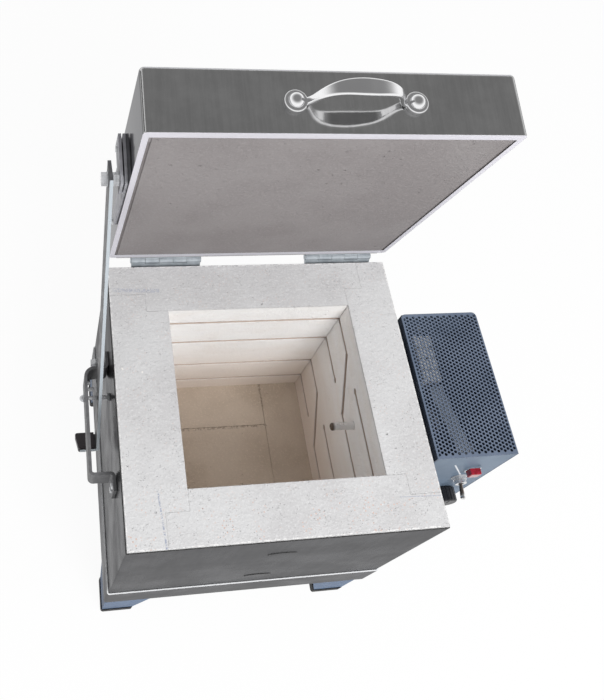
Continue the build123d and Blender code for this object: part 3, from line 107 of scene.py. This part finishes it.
class Shading:
    """A node tree, and the one way to add a node of any type to it."""

    def __init__(self, tree):
        self.tree = tree

    def node(self, kind, settings=None, terms=None, output=0):
        made = self.tree.nodes.new("ShaderNode" + kind)
        for name, setting in (settings or {}).items():
            setattr(made, name, setting)
        for name, term in (terms or {}).items():
            self.feed(made.inputs[name], term)
        return Value(self, made.outputs[output])

    def feed(self, socket, term):
        if isinstance(term, Value):
            self.tree.links.new(term.socket, socket)
        elif isinstance(term, tuple) and socket.type == "RGBA":
            socket.default_value = (*term, 1.0)
        else:
            socket.default_value = term

    def ray(self, kind):
        return self.node("LightPath", output=f"Is {kind} Ray")

    def parts(self, vector):
        split = self.node("SeparateXYZ", terms={0: vector})
        return [Value(self, socket) for socket in split.socket.node.outputs]


class Finish(Shading):
    """One material: a principled shader and the texture nodes that feed it."""

    def __init__(self, name, **shader):
        self.material = bpy.data.materials.new(name)
        self.material.use_nodes = True
        super().__init__(self.material.node_tree)
        self.shader = self.tree.nodes["Principled BSDF"]
        self.set(**shader)

    def set(self, **terms):
        for name, term in terms.items():
            self.feed(self.shader.inputs[name.replace("_", " ").title().replace("Ior", "IOR")], term)

    def place(self):
        terms = {0: self.node("TexCoord", output="Object"), 1: tuple(case_middle)}
        return self.node("VectorMath", {"operation": "SUBTRACT"}, terms)

    def axes(self):
        return self.parts(self.place())

    def grain(self, per_metre, detail=3.0, rough=0.55, stretch=(1.0, 1.0, 1.0)):
        place = self.node("VectorMath", {"operation": "MULTIPLY"}, {0: self.place(), 1: stretch})
        terms = {"Vector": place, "Scale": per_metre, "Detail": detail, "Roughness": rough}
        return self.node("TexNoise", terms=terms)

    def cells(self, per_metre):
        return self.node("TexVoronoi", terms={"Vector": self.place(), "Scale": per_metre})

    def facing(self, direction, least=0.8):
        """1 where the surface faces this way in the object's own axes."""
        terms = {0: self.node("TexCoord", output="Normal"), 1: direction}
        turned = self.node("VectorMath", {"operation": "DOT_PRODUCT"}, terms, output="Value")
        return turned.rise(least, least + 0.1)

    def mix(self, share, first, second):
        return self.node("Mix", {"data_type": "RGBA"}, {0: share, 6: first, 7: second}, output=2)

    def relief(self, height, depth, edge=0.0):
        """Bumps of this depth in metres, over edges rounded by a small radius."""
        terms = {"Height": height, "Distance": depth, "Strength": 1.0}
        if edge:
            terms["Normal"] = self.node("Bevel", {"samples": 4}, {"Radius": edge})
        self.set(normal=self.node("Bump", terms=terms))


def stroke(across, along, start, end, half_width, fade):
    """1 on a straight stroke between two points of a flat face."""
    run = Vector(end) - Vector(start)
    half_length = run.length / 2
    run.normalize()
    aside = abs((across - start[0]) * run.y - (along - start[1]) * run.x)
    onward = (across - start[0]) * run.x + (along - start[1]) * run.y
    across_share = aside.rise(half_width, half_width + fade, 1.0, 0.0)
    return across_share * onward.near(half_length, half_length, fade)


def dress(finish, *names):
    """Gives a finish to CAD nodes."""
    for name in names:
        for slot in nodes[name].material_slots:
            slot.material = finish.material


# ---------------------------------------------------------------- studio
# A white floor under a soft sky, lit by a broad lamp high in front and a weaker one overhead.
# The white round the kiln is what camera, glossy and transmission rays see of floor and sky.
floor_half = 25.0
floor_white = (0.93, 0.93, 0.93)
floor_lift = 0.94
room_light = 0.46
ceiling_light = 0.22

floor_mesh = bpy.data.meshes.new("floor")
floor_plan = [(-1, -1), (1, -1), (1, 1), (-1, 1)]
floor_corners = [(x * floor_half, y * floor_half, 0.0) for x, y in floor_plan]
floor_mesh.from_pydata(floor_corners, [], [(0, 1, 2, 3)])
floor = bpy.data.objects.new("floor", floor_mesh)
bpy.context.scene.collection.objects.link(floor)

floor_finish = Finish("floor_white", roughness=0.95, base_color=floor_white, specular_ior_level=0.0)
lit = Value(floor_finish, floor_finish.shader.outputs[0])
plain_white = floor_finish.node("Emission", terms={"Color": (1.0, 1.0, 1.0), "Strength": 1.0})
seen = floor_finish.ray("Camera") + floor_finish.ray("Glossy") + floor_finish.ray("Transmission")
lifted = seen.maths("MINIMUM", seen, 1.0) * floor_lift
surface = floor_finish.node("MixShader", terms={0: lifted, 1: lit, 2: plain_white})
floor_finish.feed(floor_finish.tree.nodes["Material Output"].inputs["Surface"], surface)
floor_mesh.materials.append(floor_finish.material)

world = bpy.data.worlds.new("studio")
bpy.context.scene.world = world
world.use_nodes = True
sky = Shading(world.node_tree)
direct = sky.ray("Camera") + sky.ray("Transmission")
direct = direct.maths("MINIMUM", direct, 1.0)
mirrored = sky.ray("Glossy")
height = sky.parts(sky.node("TexCoord", output="Generated"))[2]
mirrored_light = height.rise(0.1, 0.85, 1.0, ceiling_light)
indirect = mirrored * mirrored_light + (1.0 - mirrored) * room_light
sky.feed(world.node_tree.nodes["Background"].inputs["Strength"], direct + (1.0 - direct) * indirect)
sky.feed(world.node_tree.nodes["Background"].inputs["Color"], (1.0, 1.0, 1.0))
bpy.context.scene.view_settings.view_transform = "Standard"


def soft_lamp(name, place, target, size, watts):
    lamp = bpy.data.objects.new(name, bpy.data.lights.new(name, "AREA"))
    bpy.context.scene.collection.objects.link(lamp)
    lamp.data.size = size
    lamp.data.energy = watts
    lamp.location = case_middle + Vector(place)
    lamp.rotation_euler = (Vector(target) - Vector(place)).to_track_quat("-Z", "Y").to_euler()
    lamp.visible_glossy = False


kiln_middle = (0.0, 0.0, 0.3)
soft_lamp("front_lamp", (0.35, -1.45, 1.95), kiln_middle, 0.9, 34.0)
soft_lamp("overhead_lamp", (0.4, -0.5, 2.4), kiln_middle, 1.4, 9.0)


# ---------------------------------------------------------------- brickwork
# Sawn blocks of pale insulating firebrick, soft and full of fine pores. Firing has turned
# the chamber cream and its floor brown, and the saw left pinkish grit and small chips.
chamber_low, chamber_high = Vector((-0.091, -0.089, 0.098)), Vector((0.099, 0.089, 0.314))
chamber_middle = (chamber_low + chamber_high) / 2
chamber_half = (chamber_high - chamber_low) / 2
heated_depth = 0.0012


def firebrick(name, pale, warm):
    brick = Finish(name, roughness=0.93, specular_ior_level=0.15)
    clouds = brick.grain(14.0, 3.0)
    speckle = brick.grain(420.0, 2.0, 0.7)
    lumps = brick.grain(260.0, 2.0, 0.6)
    pores = brick.cells(520.0).rise(0.10, 0.26, 1.0, 0.0) * brick.grain(120.0, 1.0).rise(0.50, 0.62)
    pits = brick.cells(95.0).rise(0.06, 0.14, 1.0, 0.0) * brick.grain(33.0, 1.0).rise(0.56, 0.64)
    tone = brick.mix(clouds.rise(0.35, 0.65), pale, warm)
    shade = tuple(part * 0.78 for part in warm)
    tone = brick.mix(pores * 0.3 + pits * 0.3, tone, shade)
    light = tuple(min(1.0, part * 1.14) for part in pale)
    tone = brick.mix(speckle.rise(0.50, 0.72) * 0.6, tone, light)
    brick.relief(speckle * 0.5 + lumps - pores * 0.7 - pits * 1.5, 0.0007, 0.0009)
    return brick, tone


wall_brick, wall_tone = firebrick("firebrick_walls", (0.655, 0.655, 0.66), (0.59, 0.585, 0.59))
brick_x, brick_y, brick_z = wall_brick.axes()
upward = wall_brick.facing((0, 0, 1)) * brick_z.rise(0.3130, 0.3135)

# The saw's grit lies thickest at the front, and the outer edges crumble to white.
grit = wall_brick.cells(300.0).rise(0.16, 0.30, 1.0, 0.0) * wall_brick.grain(45.0, 2.0).rise(0.46, 0.60)
grit = grit * (brick_y.rise(-0.12, -0.09, 1.0, 0.0) * 0.6 + 0.25) * upward
wall_tone = wall_brick.mix(grit, wall_tone, (0.66, 0.47, 0.40))
crumble = wall_brick.grain(230.0, 3.0, 0.7).rise(0.40, 0.60) * 0.0014
edge_x = (abs(brick_x) + crumble).rise(0.1485, 0.1495)
edge_y = (abs(brick_y) + crumble).rise(0.1390, 0.1400)
white_edge = edge_x.maths("MAXIMUM", edge_x, edge_y) * brick_z.rise(0.3100, 0.3120)
wall_tone = wall_brick.mix(white_edge * 0.85, wall_tone, (0.90, 0.89, 0.88))

# A mason's blue pencil has marked the rim at two joints, and two pale lumps lie on its left.
pencil = wall_brick.grain(700.0, 2.0).rise(0.42, 0.56)
pencil_line = stroke(brick_x, brick_y, (-0.1179, -0.0884), (-0.1143, -0.1395), 0.0004, 0.0007)
smear = stroke(brick_x, brick_y, (-0.1440, 0.1133), (-0.0990, 0.1113), 0.0012, 0.0018)
faint_line = stroke(brick_x, brick_y, (0.1071, -0.1098), (0.1490, -0.1111), 0.0001, 0.0005)
dot = stroke(brick_x, brick_y, (-0.1146, -0.1388), (-0.1141, -0.1396), 0.0010, 0.0006)
marks = (pencil_line * 0.75 + smear * 0.40) * pencil + dot * 0.6 + faint_line * 0.45
wall_tone = wall_brick.mix(marks * upward, wall_tone, (0.27, 0.31, 0.43))
lumps = stroke(brick_x, brick_y, (-0.1417, 0.0284), (-0.1410, 0.0287), 0.0008, 0.0008)
lumps = lumps + stroke(brick_x, brick_y, (-0.1228, 0.0245), (-0.1222, 0.0243), 0.0007, 0.0007)
wall_tone = wall_brick.mix(lumps * upward * 0.8, wall_tone, (0.93, 0.90, 0.86))

# Heat has turned the chamber's faces cream. They are darker and warmer towards the bottom, and brown inside
# the grooves.
within_x = brick_x.near(chamber_middle.x, chamber_half.x, heated_depth)
within_y = brick_y.near(chamber_middle.y, chamber_half.y, heated_depth)
heated = within_x * within_y * brick_z.rise(chamber_high.z - 0.003, chamber_high.z - 0.0005, 1.0, 0.0)
depth_share = brick_z.rise(chamber_low.z + 0.01, chamber_high.z - 0.06)
chamber_face_tone = wall_brick.mix(depth_share, (0.88, 0.79, 0.72), (0.98, 0.975, 0.97))
heat_clouds = wall_brick.grain(22.0, 2.0, stretch=(1.0, 1.0, 2.5)).rise(0.4, 0.7)
chamber_face_tone = wall_brick.mix(heat_clouds * 0.25, chamber_face_tone, (0.84, 0.77, 0.71))
groove_depth = 0.009
groove_reach = 0.0012
groove_x = abs(brick_x - chamber_middle.x).rise(chamber_half.x + 0.0004, chamber_half.x + groove_reach)
groove_y = abs(brick_y - chamber_middle.y).rise(chamber_half.y + 0.0004, chamber_half.y + groove_reach)
in_ring_x = brick_x.near(chamber_middle.x, chamber_half.x + groove_depth, 0.0005)
in_ring_y = brick_y.near(chamber_middle.y, chamber_half.y + groove_depth, 0.0005)
below_rim = brick_z.rise(chamber_high.z - 0.02, chamber_high.z - 0.019, 1.0, 0.0)
in_groove = groove_x.maths("MAXIMUM", groove_x, groove_y) * in_ring_x * in_ring_y * below_rim
wall_tone = wall_brick.mix(heated, wall_tone, chamber_face_tone)
wall_tone = wall_brick.mix(in_groove, wall_tone, (0.66, 0.53, 0.45))
wall_brick.set(base_color=wall_tone)

floor_brick, floor_tone = firebrick("firebrick_floor", (0.58, 0.49, 0.405), (0.49, 0.405, 0.325))
hearth_x, hearth_y = floor_brick.axes()[:2]
seam_specks = floor_brick.grain(330.0, 3.0, 0.7).rise(0.47, 0.58)
cross_seam = hearth_y.near(0.0360, 0.0004, 0.0024) * hearth_x.rise(0.0530, 0.0545, 1.0, 0.0)
long_seam = hearth_x.near(0.0520, 0.0004, 0.0020) * floor_brick.grain(30.0, 1.0).rise(0.45, 0.60)
seams = cross_seam.maths("MAXIMUM", cross_seam, long_seam) * seam_specks
floor_brick.set(base_color=floor_brick.mix(seams * 0.6, floor_tone, (0.20, 0.155, 0.125)))

# The lid's bricks are the walls' firebrick, painted far darker as painted shade over a grey-mauve heat tint;
# the scorch clouds are heat discolouration.
lid_brick, lid_tone = firebrick("firebrick_lid", (0.248, 0.228, 0.229), (0.212, 0.192, 0.194))
scorch = lid_brick.grain(7.0, 2.0).rise(0.35, 0.65)
front_band = lid_brick.axes()[2].rise(0.5835, 0.5865)
lid_tone = lid_brick.mix(scorch * 0.5, lid_tone, (0.265, 0.246, 0.246))
lid_brick.set(base_color=lid_brick.mix(front_band * 0.5, lid_tone, (0.44, 0.42, 0.43)))

for name in nodes:
    if name.startswith("wall_brick"):
        dress(wall_brick, name)
    elif name.startswith("floor_brick"):
        dress(floor_brick, name)
dress(lid_brick, "lid_bricks")


# ---------------------------------------------------------------- refractory cement
# A thin cement fills the joints between the rim's bricks and between the lid's six
# bricks. It was wiped off just below their faces, so that only faint lines show.
cement_round = 0.0002


def cement_piece(name, body, finish, corners, faces):
    shape = bmesh.new()
    points = [shape.verts.new(corner) for corner in corners]
    for face in faces:
        shape.faces.new([points[index] for index in face])
    bmesh.ops.recalc_face_normals(shape, faces=shape.faces)
    bmesh.ops.bevel(shape, geom=shape.edges[:], offset=cement_round, segments=1, affect="EDGES")
    mesh = bpy.data.meshes.new(name)
    shape.to_mesh(mesh)
    shape.free()
    mesh.materials.append(finish.material)
    piece = bpy.data.objects.new(name, mesh)
    bpy.context.scene.collection.objects.link(piece)
    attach(piece, body)


cement, cement_tone = firebrick("joint_cement", (0.60, 0.60, 0.60), (0.54, 0.535, 0.54))
cement.set(base_color=cement_tone)
rim_plan = [(-0.1490, 0.1490, -0.1395, 0.1395), (-0.0914, 0.0994, -0.0894, 0.0894)]
rim_cement_bottom, rim_cement_top = 0.3022, 0.3139
rim_corners = [
    case_middle + Vector((x, y, level))
    for level in (rim_cement_bottom, rim_cement_top)
    for left, right, front, back in rim_plan
    for x, y in ((left, front), (right, front), (right, back), (left, back))
]
rim_faces = []
for side in range(4):
    after = (side + 1) % 4
    rim_faces.append((side, after, 4 + after, 4 + side))
    rim_faces.append((8 + side, 8 + after, 12 + after, 12 + side))
    rim_faces.append((side, after, 8 + after, 8 + side))
    rim_faces.append((4 + side, 4 + after, 12 + after, 12 + side))
cement_piece("rim_joint_cement", "kiln_body", cement, rim_corners, rim_faces)

# The lid's cement is painted dark to match the lid's bricks, as painted shade.
lid_cement, lid_cement_tone = firebrick("lid_joint_cement", (0.31, 0.29, 0.29), (0.28, 0.26, 0.26))
lid_cement.set(base_color=lid_cement_tone)
hinge_line = Vector((0.0, 0.1475, 0.314))
lid_opening = math.radians(78)
lid_turn = Matrix.Rotation(-lid_opening, 3, "X")
lid_cement_bottom, lid_cement_top = 0.0013, 0.0060
lid_corners = [
    case_middle + hinge_line + lid_turn @ Vector((x, y, level))
    for level in (lid_cement_bottom, lid_cement_top)
    for x, y in ((-0.1400, -0.2840), (0.1430, -0.2840), (0.1430, -0.0040), (-0.1400, -0.0040))
]
box_faces = [(0, 1, 2, 3), (4, 5, 6, 7), (0, 1, 5, 4), (1, 2, 6, 5), (2, 3, 7, 6), (3, 0, 4, 7)]
cement_piece("lid_joint_cement", "lid", lid_cement, lid_corners, box_faces)


# ---------------------------------------------------------------- sheet steel
# The case, tray and lid are stainless sheet, with faint streaks from rolling and a cloudy film from heat and
# hands. The lid is dark where it mirrors the room;
# the case and tray are painted dark as a painted reflection of a dark room, left faces carry painted shade,
# and the bright folded edges are painted highlights.
def stainless(name, dark, light, streaks, rough=(0.22, 0.34)):
    steel = Finish(name, metallic=1.0, specular_tint=(0.45, 0.45, 0.46))
    lines = steel.grain(260.0, 4.0, 0.7, stretch=streaks)
    film = steel.grain(16.0, 3.0, 0.6)
    blotches = steel.grain(75.0, 3.0, 0.65)
    share = lines.rise(0.35, 0.65) * 0.35 + film.rise(0.35, 0.7) * 0.35 + blotches.rise(0.35, 0.7) * 0.3
    steel.set(roughness=film.rise(0.3, 0.7, *rough))
    steel.relief(lines * 0.4 + film, 0.00008, 0.0009)
    return steel, steel.mix(share, dark, light)


# The case's base tones are painted dark as a painted reflection of a dark room, and its left face is painted
# darker still as painted shade.
case_painted_reflection_tones = (0.125, 0.125, 0.125), (0.205, 0.205, 0.205)
case_steel, case_tone = stainless("stainless_case", *case_painted_reflection_tones, (1.0, 1.0, 0.06))
case_side_painted_shade = case_steel.facing((-1, 0, 0))
case_steel.set(base_color=case_steel.mix(case_side_painted_shade * 0.75, case_tone, (0.035, 0.035, 0.035)))
dress(case_steel, "casing_shell")

# The tray's base tones are a painted reflection of a dark room, its left face has painted shade, and its top
# lip is painted near-white and non-metallic as a painted highlight.
tray_painted_reflection_tones = (0.135, 0.135, 0.135), (0.21, 0.21, 0.21)
tray_steel, tray_tone = stainless("stainless_tray", *tray_painted_reflection_tones, (0.05, 0.05, 1.0))
tray_z = tray_steel.axes()[2]
lip_painted_highlight = tray_steel.facing((0, 0, 1)) * tray_z.rise(0.090, 0.095)
tray_tone = tray_steel.mix(tray_steel.facing((-1, 0, 0)) * 0.75, tray_tone, (0.035, 0.035, 0.035))
tray_steel.set(base_color=tray_steel.mix(lip_painted_highlight, tray_tone, (0.94, 0.95, 0.97)), metallic=1.0 - lip_painted_highlight)
dress(tray_steel, "base_tray")

lid_tones = (0.58, 0.58, 0.58), (0.74, 0.74, 0.74)
lid_steel, lid_tone = stainless("stainless_lid", *lid_tones, (1.0, 0.05, 0.05), (0.05, 0.12))
# The lid's left face has painted shade. Its rolled top edge is a painted highlight, and its underside flange
# is painted pale as painted light; both are made less metallic and rougher so that the painted colour shows.
lid_side_painted_shade = lid_steel.facing((-1, 0, 0))
flange_painted_light = lid_steel.facing((0.0, -0.978, -0.208), 0.85)
rolled_edge_painted_highlight = lid_steel.facing((0.0, 0.545, 0.839), 0.86)
lid_tone = lid_steel.mix(lid_side_painted_shade, lid_tone, (0.24, 0.24, 0.24))
lid_tone = lid_steel.mix(rolled_edge_painted_highlight * 0.8, lid_tone, (0.62, 0.62, 0.66))
lid_steel.set(base_color=lid_steel.mix(flange_painted_light, lid_tone, (0.80, 0.785, 0.845)))
painted_light_faces = flange_painted_light + rolled_edge_painted_highlight
lid_steel.set(metallic=1.0 - painted_light_faces * 0.75, roughness=painted_light_faces.rise(0.0, 1.0, 0.08, 0.5))
dress(lid_steel, "lid_shell")


# ---------------------------------------------------------------- painted steel
# Feet, control box and its bracket are folded steel with a blue-grey stoved enamel, which
# has a slight orange-peel surface. A plain white guide line runs slantwise over the panel.
def enamel(name, dark, light):
    paint = Finish(name, roughness=0.5, specular_ior_level=0.3)
    film = paint.grain(24.0, 3.0)
    paint.relief(paint.grain(700.0, 1.0), 0.00006, 0.0007)
    return paint, paint.mix(film.rise(0.35, 0.65), dark, light)


box_enamel, box_tone = enamel("control_box_enamel", (0.135, 0.185, 0.255), (0.165, 0.22, 0.295))
panel_x, panel_z = box_enamel.axes()[::2]
guide_line = stroke(panel_x, panel_z, (0.1861, 0.2829), (0.2104, 0.2423), 0.0006, 0.0004)
guide_line = guide_line * box_enamel.facing((0, -1, 0))
box_enamel.set(base_color=box_enamel.mix(guide_line, box_tone, (0.75, 0.77, 0.80)))
dress(box_enamel, "control_chassis")

cover_enamel, cover_tone = enamel("cover_enamel", (0.125, 0.158, 0.222), (0.155, 0.192, 0.265))
cover_enamel.set(base_color=cover_tone)
dress(cover_enamel, "perforated_cover")

foot_enamel, foot_tone = enamel("foot_enamel", (0.075, 0.125, 0.22), (0.10, 0.16, 0.27))
# The feet's left faces are painted darker as painted shade.
foot_side_painted_shade = foot_enamel.facing((-1, 0, 0))
foot_enamel.set(base_color=foot_enamel.mix(foot_side_painted_shade * 0.6, foot_tone, (0.03, 0.06, 0.13)))
dress(foot_enamel, *[name for name in nodes if name.startswith("foot_") and name != "foot_pads"])

baffle_enamel, baffle_tone = enamel("baffle_enamel", (0.30, 0.33, 0.37), (0.36, 0.39, 0.43))
baffle_enamel.set(base_color=baffle_tone)
dress(baffle_enamel, "baffle_bracket")


# ---------------------------------------------------------------- plated hardware
# Hinges, strap, arm and screws are mild steel with a thin zinc coat. It has gone grey on flat faces.
# The arm is painted near black as a painted reflection of a dark room, and its front edge carries a painted
# highlight.
def plated(name, dark, light, rough=(0.3, 0.45), metal=1.0):
    zinc = Finish(name, metallic=metal)
    spangle = zinc.grain(90.0, 3.0, 0.65)
    scuffs = zinc.grain(600.0, 2.0, 0.6, stretch=(1.0, 0.2, 0.2))
    zinc.set(roughness=scuffs.rise(0.3, 0.7, *rough))
    zinc.relief(scuffs + spangle, 0.00001, 0.0004)
    return zinc, zinc.mix(spangle.rise(0.35, 0.65), dark, light)


hinge_zinc, hinge_tone = plated("hinge_zinc", (0.45, 0.50, 0.54), (0.57, 0.62, 0.66), (0.35, 0.45), 0.5)
hinge_zinc.set(base_color=hinge_tone)
dress(hinge_zinc, *[name for name in nodes if name.startswith("hinge_")], "cover_screws", "box_spacers")

bracket_zinc, bracket_tone = plated("bracket_zinc", (0.34, 0.34, 0.37), (0.44, 0.44, 0.475), (0.4, 0.55), 0.0)
bracket_zinc.set(base_color=bracket_tone)
dress(bracket_zinc, "lid_bracket")

strap_zinc, strap_tone = plated("strap_zinc", (0.13, 0.13, 0.135), (0.18, 0.18, 0.188), (0.5, 0.6), 0.0)
strap_zinc.set(base_color=strap_tone)
dress(strap_zinc, "prop_strap")

# The arm's near-black tone is a painted reflection of a dark room, and its front edge is painted bright as a
# painted highlight.
arm_zinc, arm_painted_reflection_tone = plated("arm_zinc", (0.09, 0.09, 0.095), (0.14, 0.14, 0.148), (0.4, 0.55), 0.2)
arm_edge_painted_highlight = arm_zinc.facing((0, -1, 0), 0.6)
arm_zinc.set(base_color=arm_zinc.mix(arm_edge_painted_highlight, arm_painted_reflection_tone, (0.52, 0.57, 0.61)))
dress(arm_zinc, "prop_arm")

bolt_zinc, bolt_tone = plated("bolt_zinc", (0.55, 0.56, 0.58), (0.70, 0.71, 0.73), (0.25, 0.36), 0.4)
bolt_zinc.set(base_color=bolt_tone)
dress(bolt_zinc, "prop_rod", "rod_cap_nut", "strap_screws", "bracket_screws")
dress(bolt_zinc, "pivot_bolt", "pivot_nuts", "toggle_nut")


# ---------------------------------------------------------------- bright trim
# The handle, its caps, the switch and the lamp bezel are polished chrome.
chrome = Finish("polished_chrome", metallic=1.0)
haze = chrome.grain(60.0, 2.0)
chrome_tone = chrome.mix(haze, (0.88, 0.88, 0.89), (0.95, 0.95, 0.96))
chrome.set(base_color=chrome_tone, roughness=haze.rise(0.3, 0.7, 0.12, 0.18))
chrome.relief(haze, 0.00004, 0.0003)
dress(chrome, "handle", "handle_screws", "lamp_body", "regulator_spindle")

lever_steel = Finish("switch_lever", metallic=1.0)
lever_tip = lever_steel.axes()[1].rise(-0.0945, -0.0925, 1.0, 0.0)
lever_tone = lever_steel.mix(lever_tip, (0.30, 0.26, 0.24), (0.80, 0.80, 0.80))
lever_steel.set(base_color=lever_tone, roughness=lever_steel.grain(200.0).rise(0.3, 0.7, 0.15, 0.3))
lever_steel.relief(lever_steel.grain(500.0), 0.00003, 0.0003)
dress(lever_steel, "toggle_lever")

# The switch's threaded collar is plated, and its body behind the panel is black.
switch_body = Finish("switch_body")
collar = switch_body.axes()[1].rise(-0.0765, -0.0755, 1.0, 0.0)
body_tone = switch_body.mix(collar, (0.02, 0.02, 0.022), (0.78, 0.78, 0.79))
switch_body.set(base_color=body_tone, metallic=collar * 0.8)
switch_body.set(roughness=switch_body.grain(300.0).rise(0.3, 0.7, 0.25, 0.4))
dress(switch_body, "toggle_body")

probe_steel = Finish("probe_steel", metallic=1.0)
heat_band = probe_steel.axes()[0].rise(0.0755, 0.0790, 1.0, 0.0)
probe_tone = probe_steel.mix(heat_band, (0.80, 0.80, 0.80), (0.16, 0.13, 0.11))
probe_steel.set(base_color=probe_tone, roughness=probe_steel.grain(200.0).rise(0.3, 0.7, 0.25, 0.4))
probe_steel.relief(probe_steel.grain(500.0), 0.00005, 0.0004)
dress(probe_steel, "thermocouple_sheath")


# ---------------------------------------------------------------- plastic, rubber, ceramic
# Moulded black parts, the pads under the feet, and the unglazed ceramic that insulates.
def moulded(name, dark, light, rough, coarse, depth):
    plastic = Finish(name)
    texture = plastic.grain(coarse, 2.0)
    plastic.set(base_color=plastic.mix(texture.rise(0.3, 0.7), dark, light))
    plastic.set(roughness=texture.rise(0.3, 0.7, *rough))
    plastic.relief(texture, depth, 0.0006)
    return plastic


black_plastic = moulded(
    "black_plastic", (0.012, 0.012, 0.014), (0.022, 0.022, 0.026), (0.3, 0.42), 900.0, 0.00005
)
plum_plastic = moulded(
    "grip_plastic", (0.020, 0.014, 0.018), (0.034, 0.024, 0.030), (0.35, 0.5), 900.0, 0.00005
)
black_rubber = moulded(
    "black_rubber", (0.008, 0.008, 0.009), (0.016, 0.016, 0.018), (0.6, 0.75), 500.0, 0.0001
)
white_ceramic = moulded("white_ceramic", (0.84, 0.84, 0.83), (0.92, 0.92, 0.91), (0.5, 0.65), 300.0, 0.0001)
element_wire = moulded("element_wire", (0.20, 0.145, 0.115), (0.30, 0.225, 0.18), (0.6, 0.75), 400.0, 0.0002)
dress(black_plastic, "control_knob", "regulator_body", "cable_gland")
dress(plum_plastic, "prop_grip")
dress(black_rubber, "foot_pads")
dress(white_ceramic, "lead_insulators", "terminal_block", "thermocouple_head")
dress(element_wire, "element_upper", "element_lower")

red_lens = Finish("red_lens", roughness=0.12, coat_weight=0.6, coat_roughness=0.05)
ribs = red_lens.grain(250.0, 1.0)
red_lens.set(base_color=red_lens.mix(ribs.rise(0.3, 0.7), (0.24, 0.004, 0.012), (0.36, 0.008, 0.024)))
red_lens.relief(ribs, 0.00008, 0.0006)
dress(red_lens, "lamp_lens")
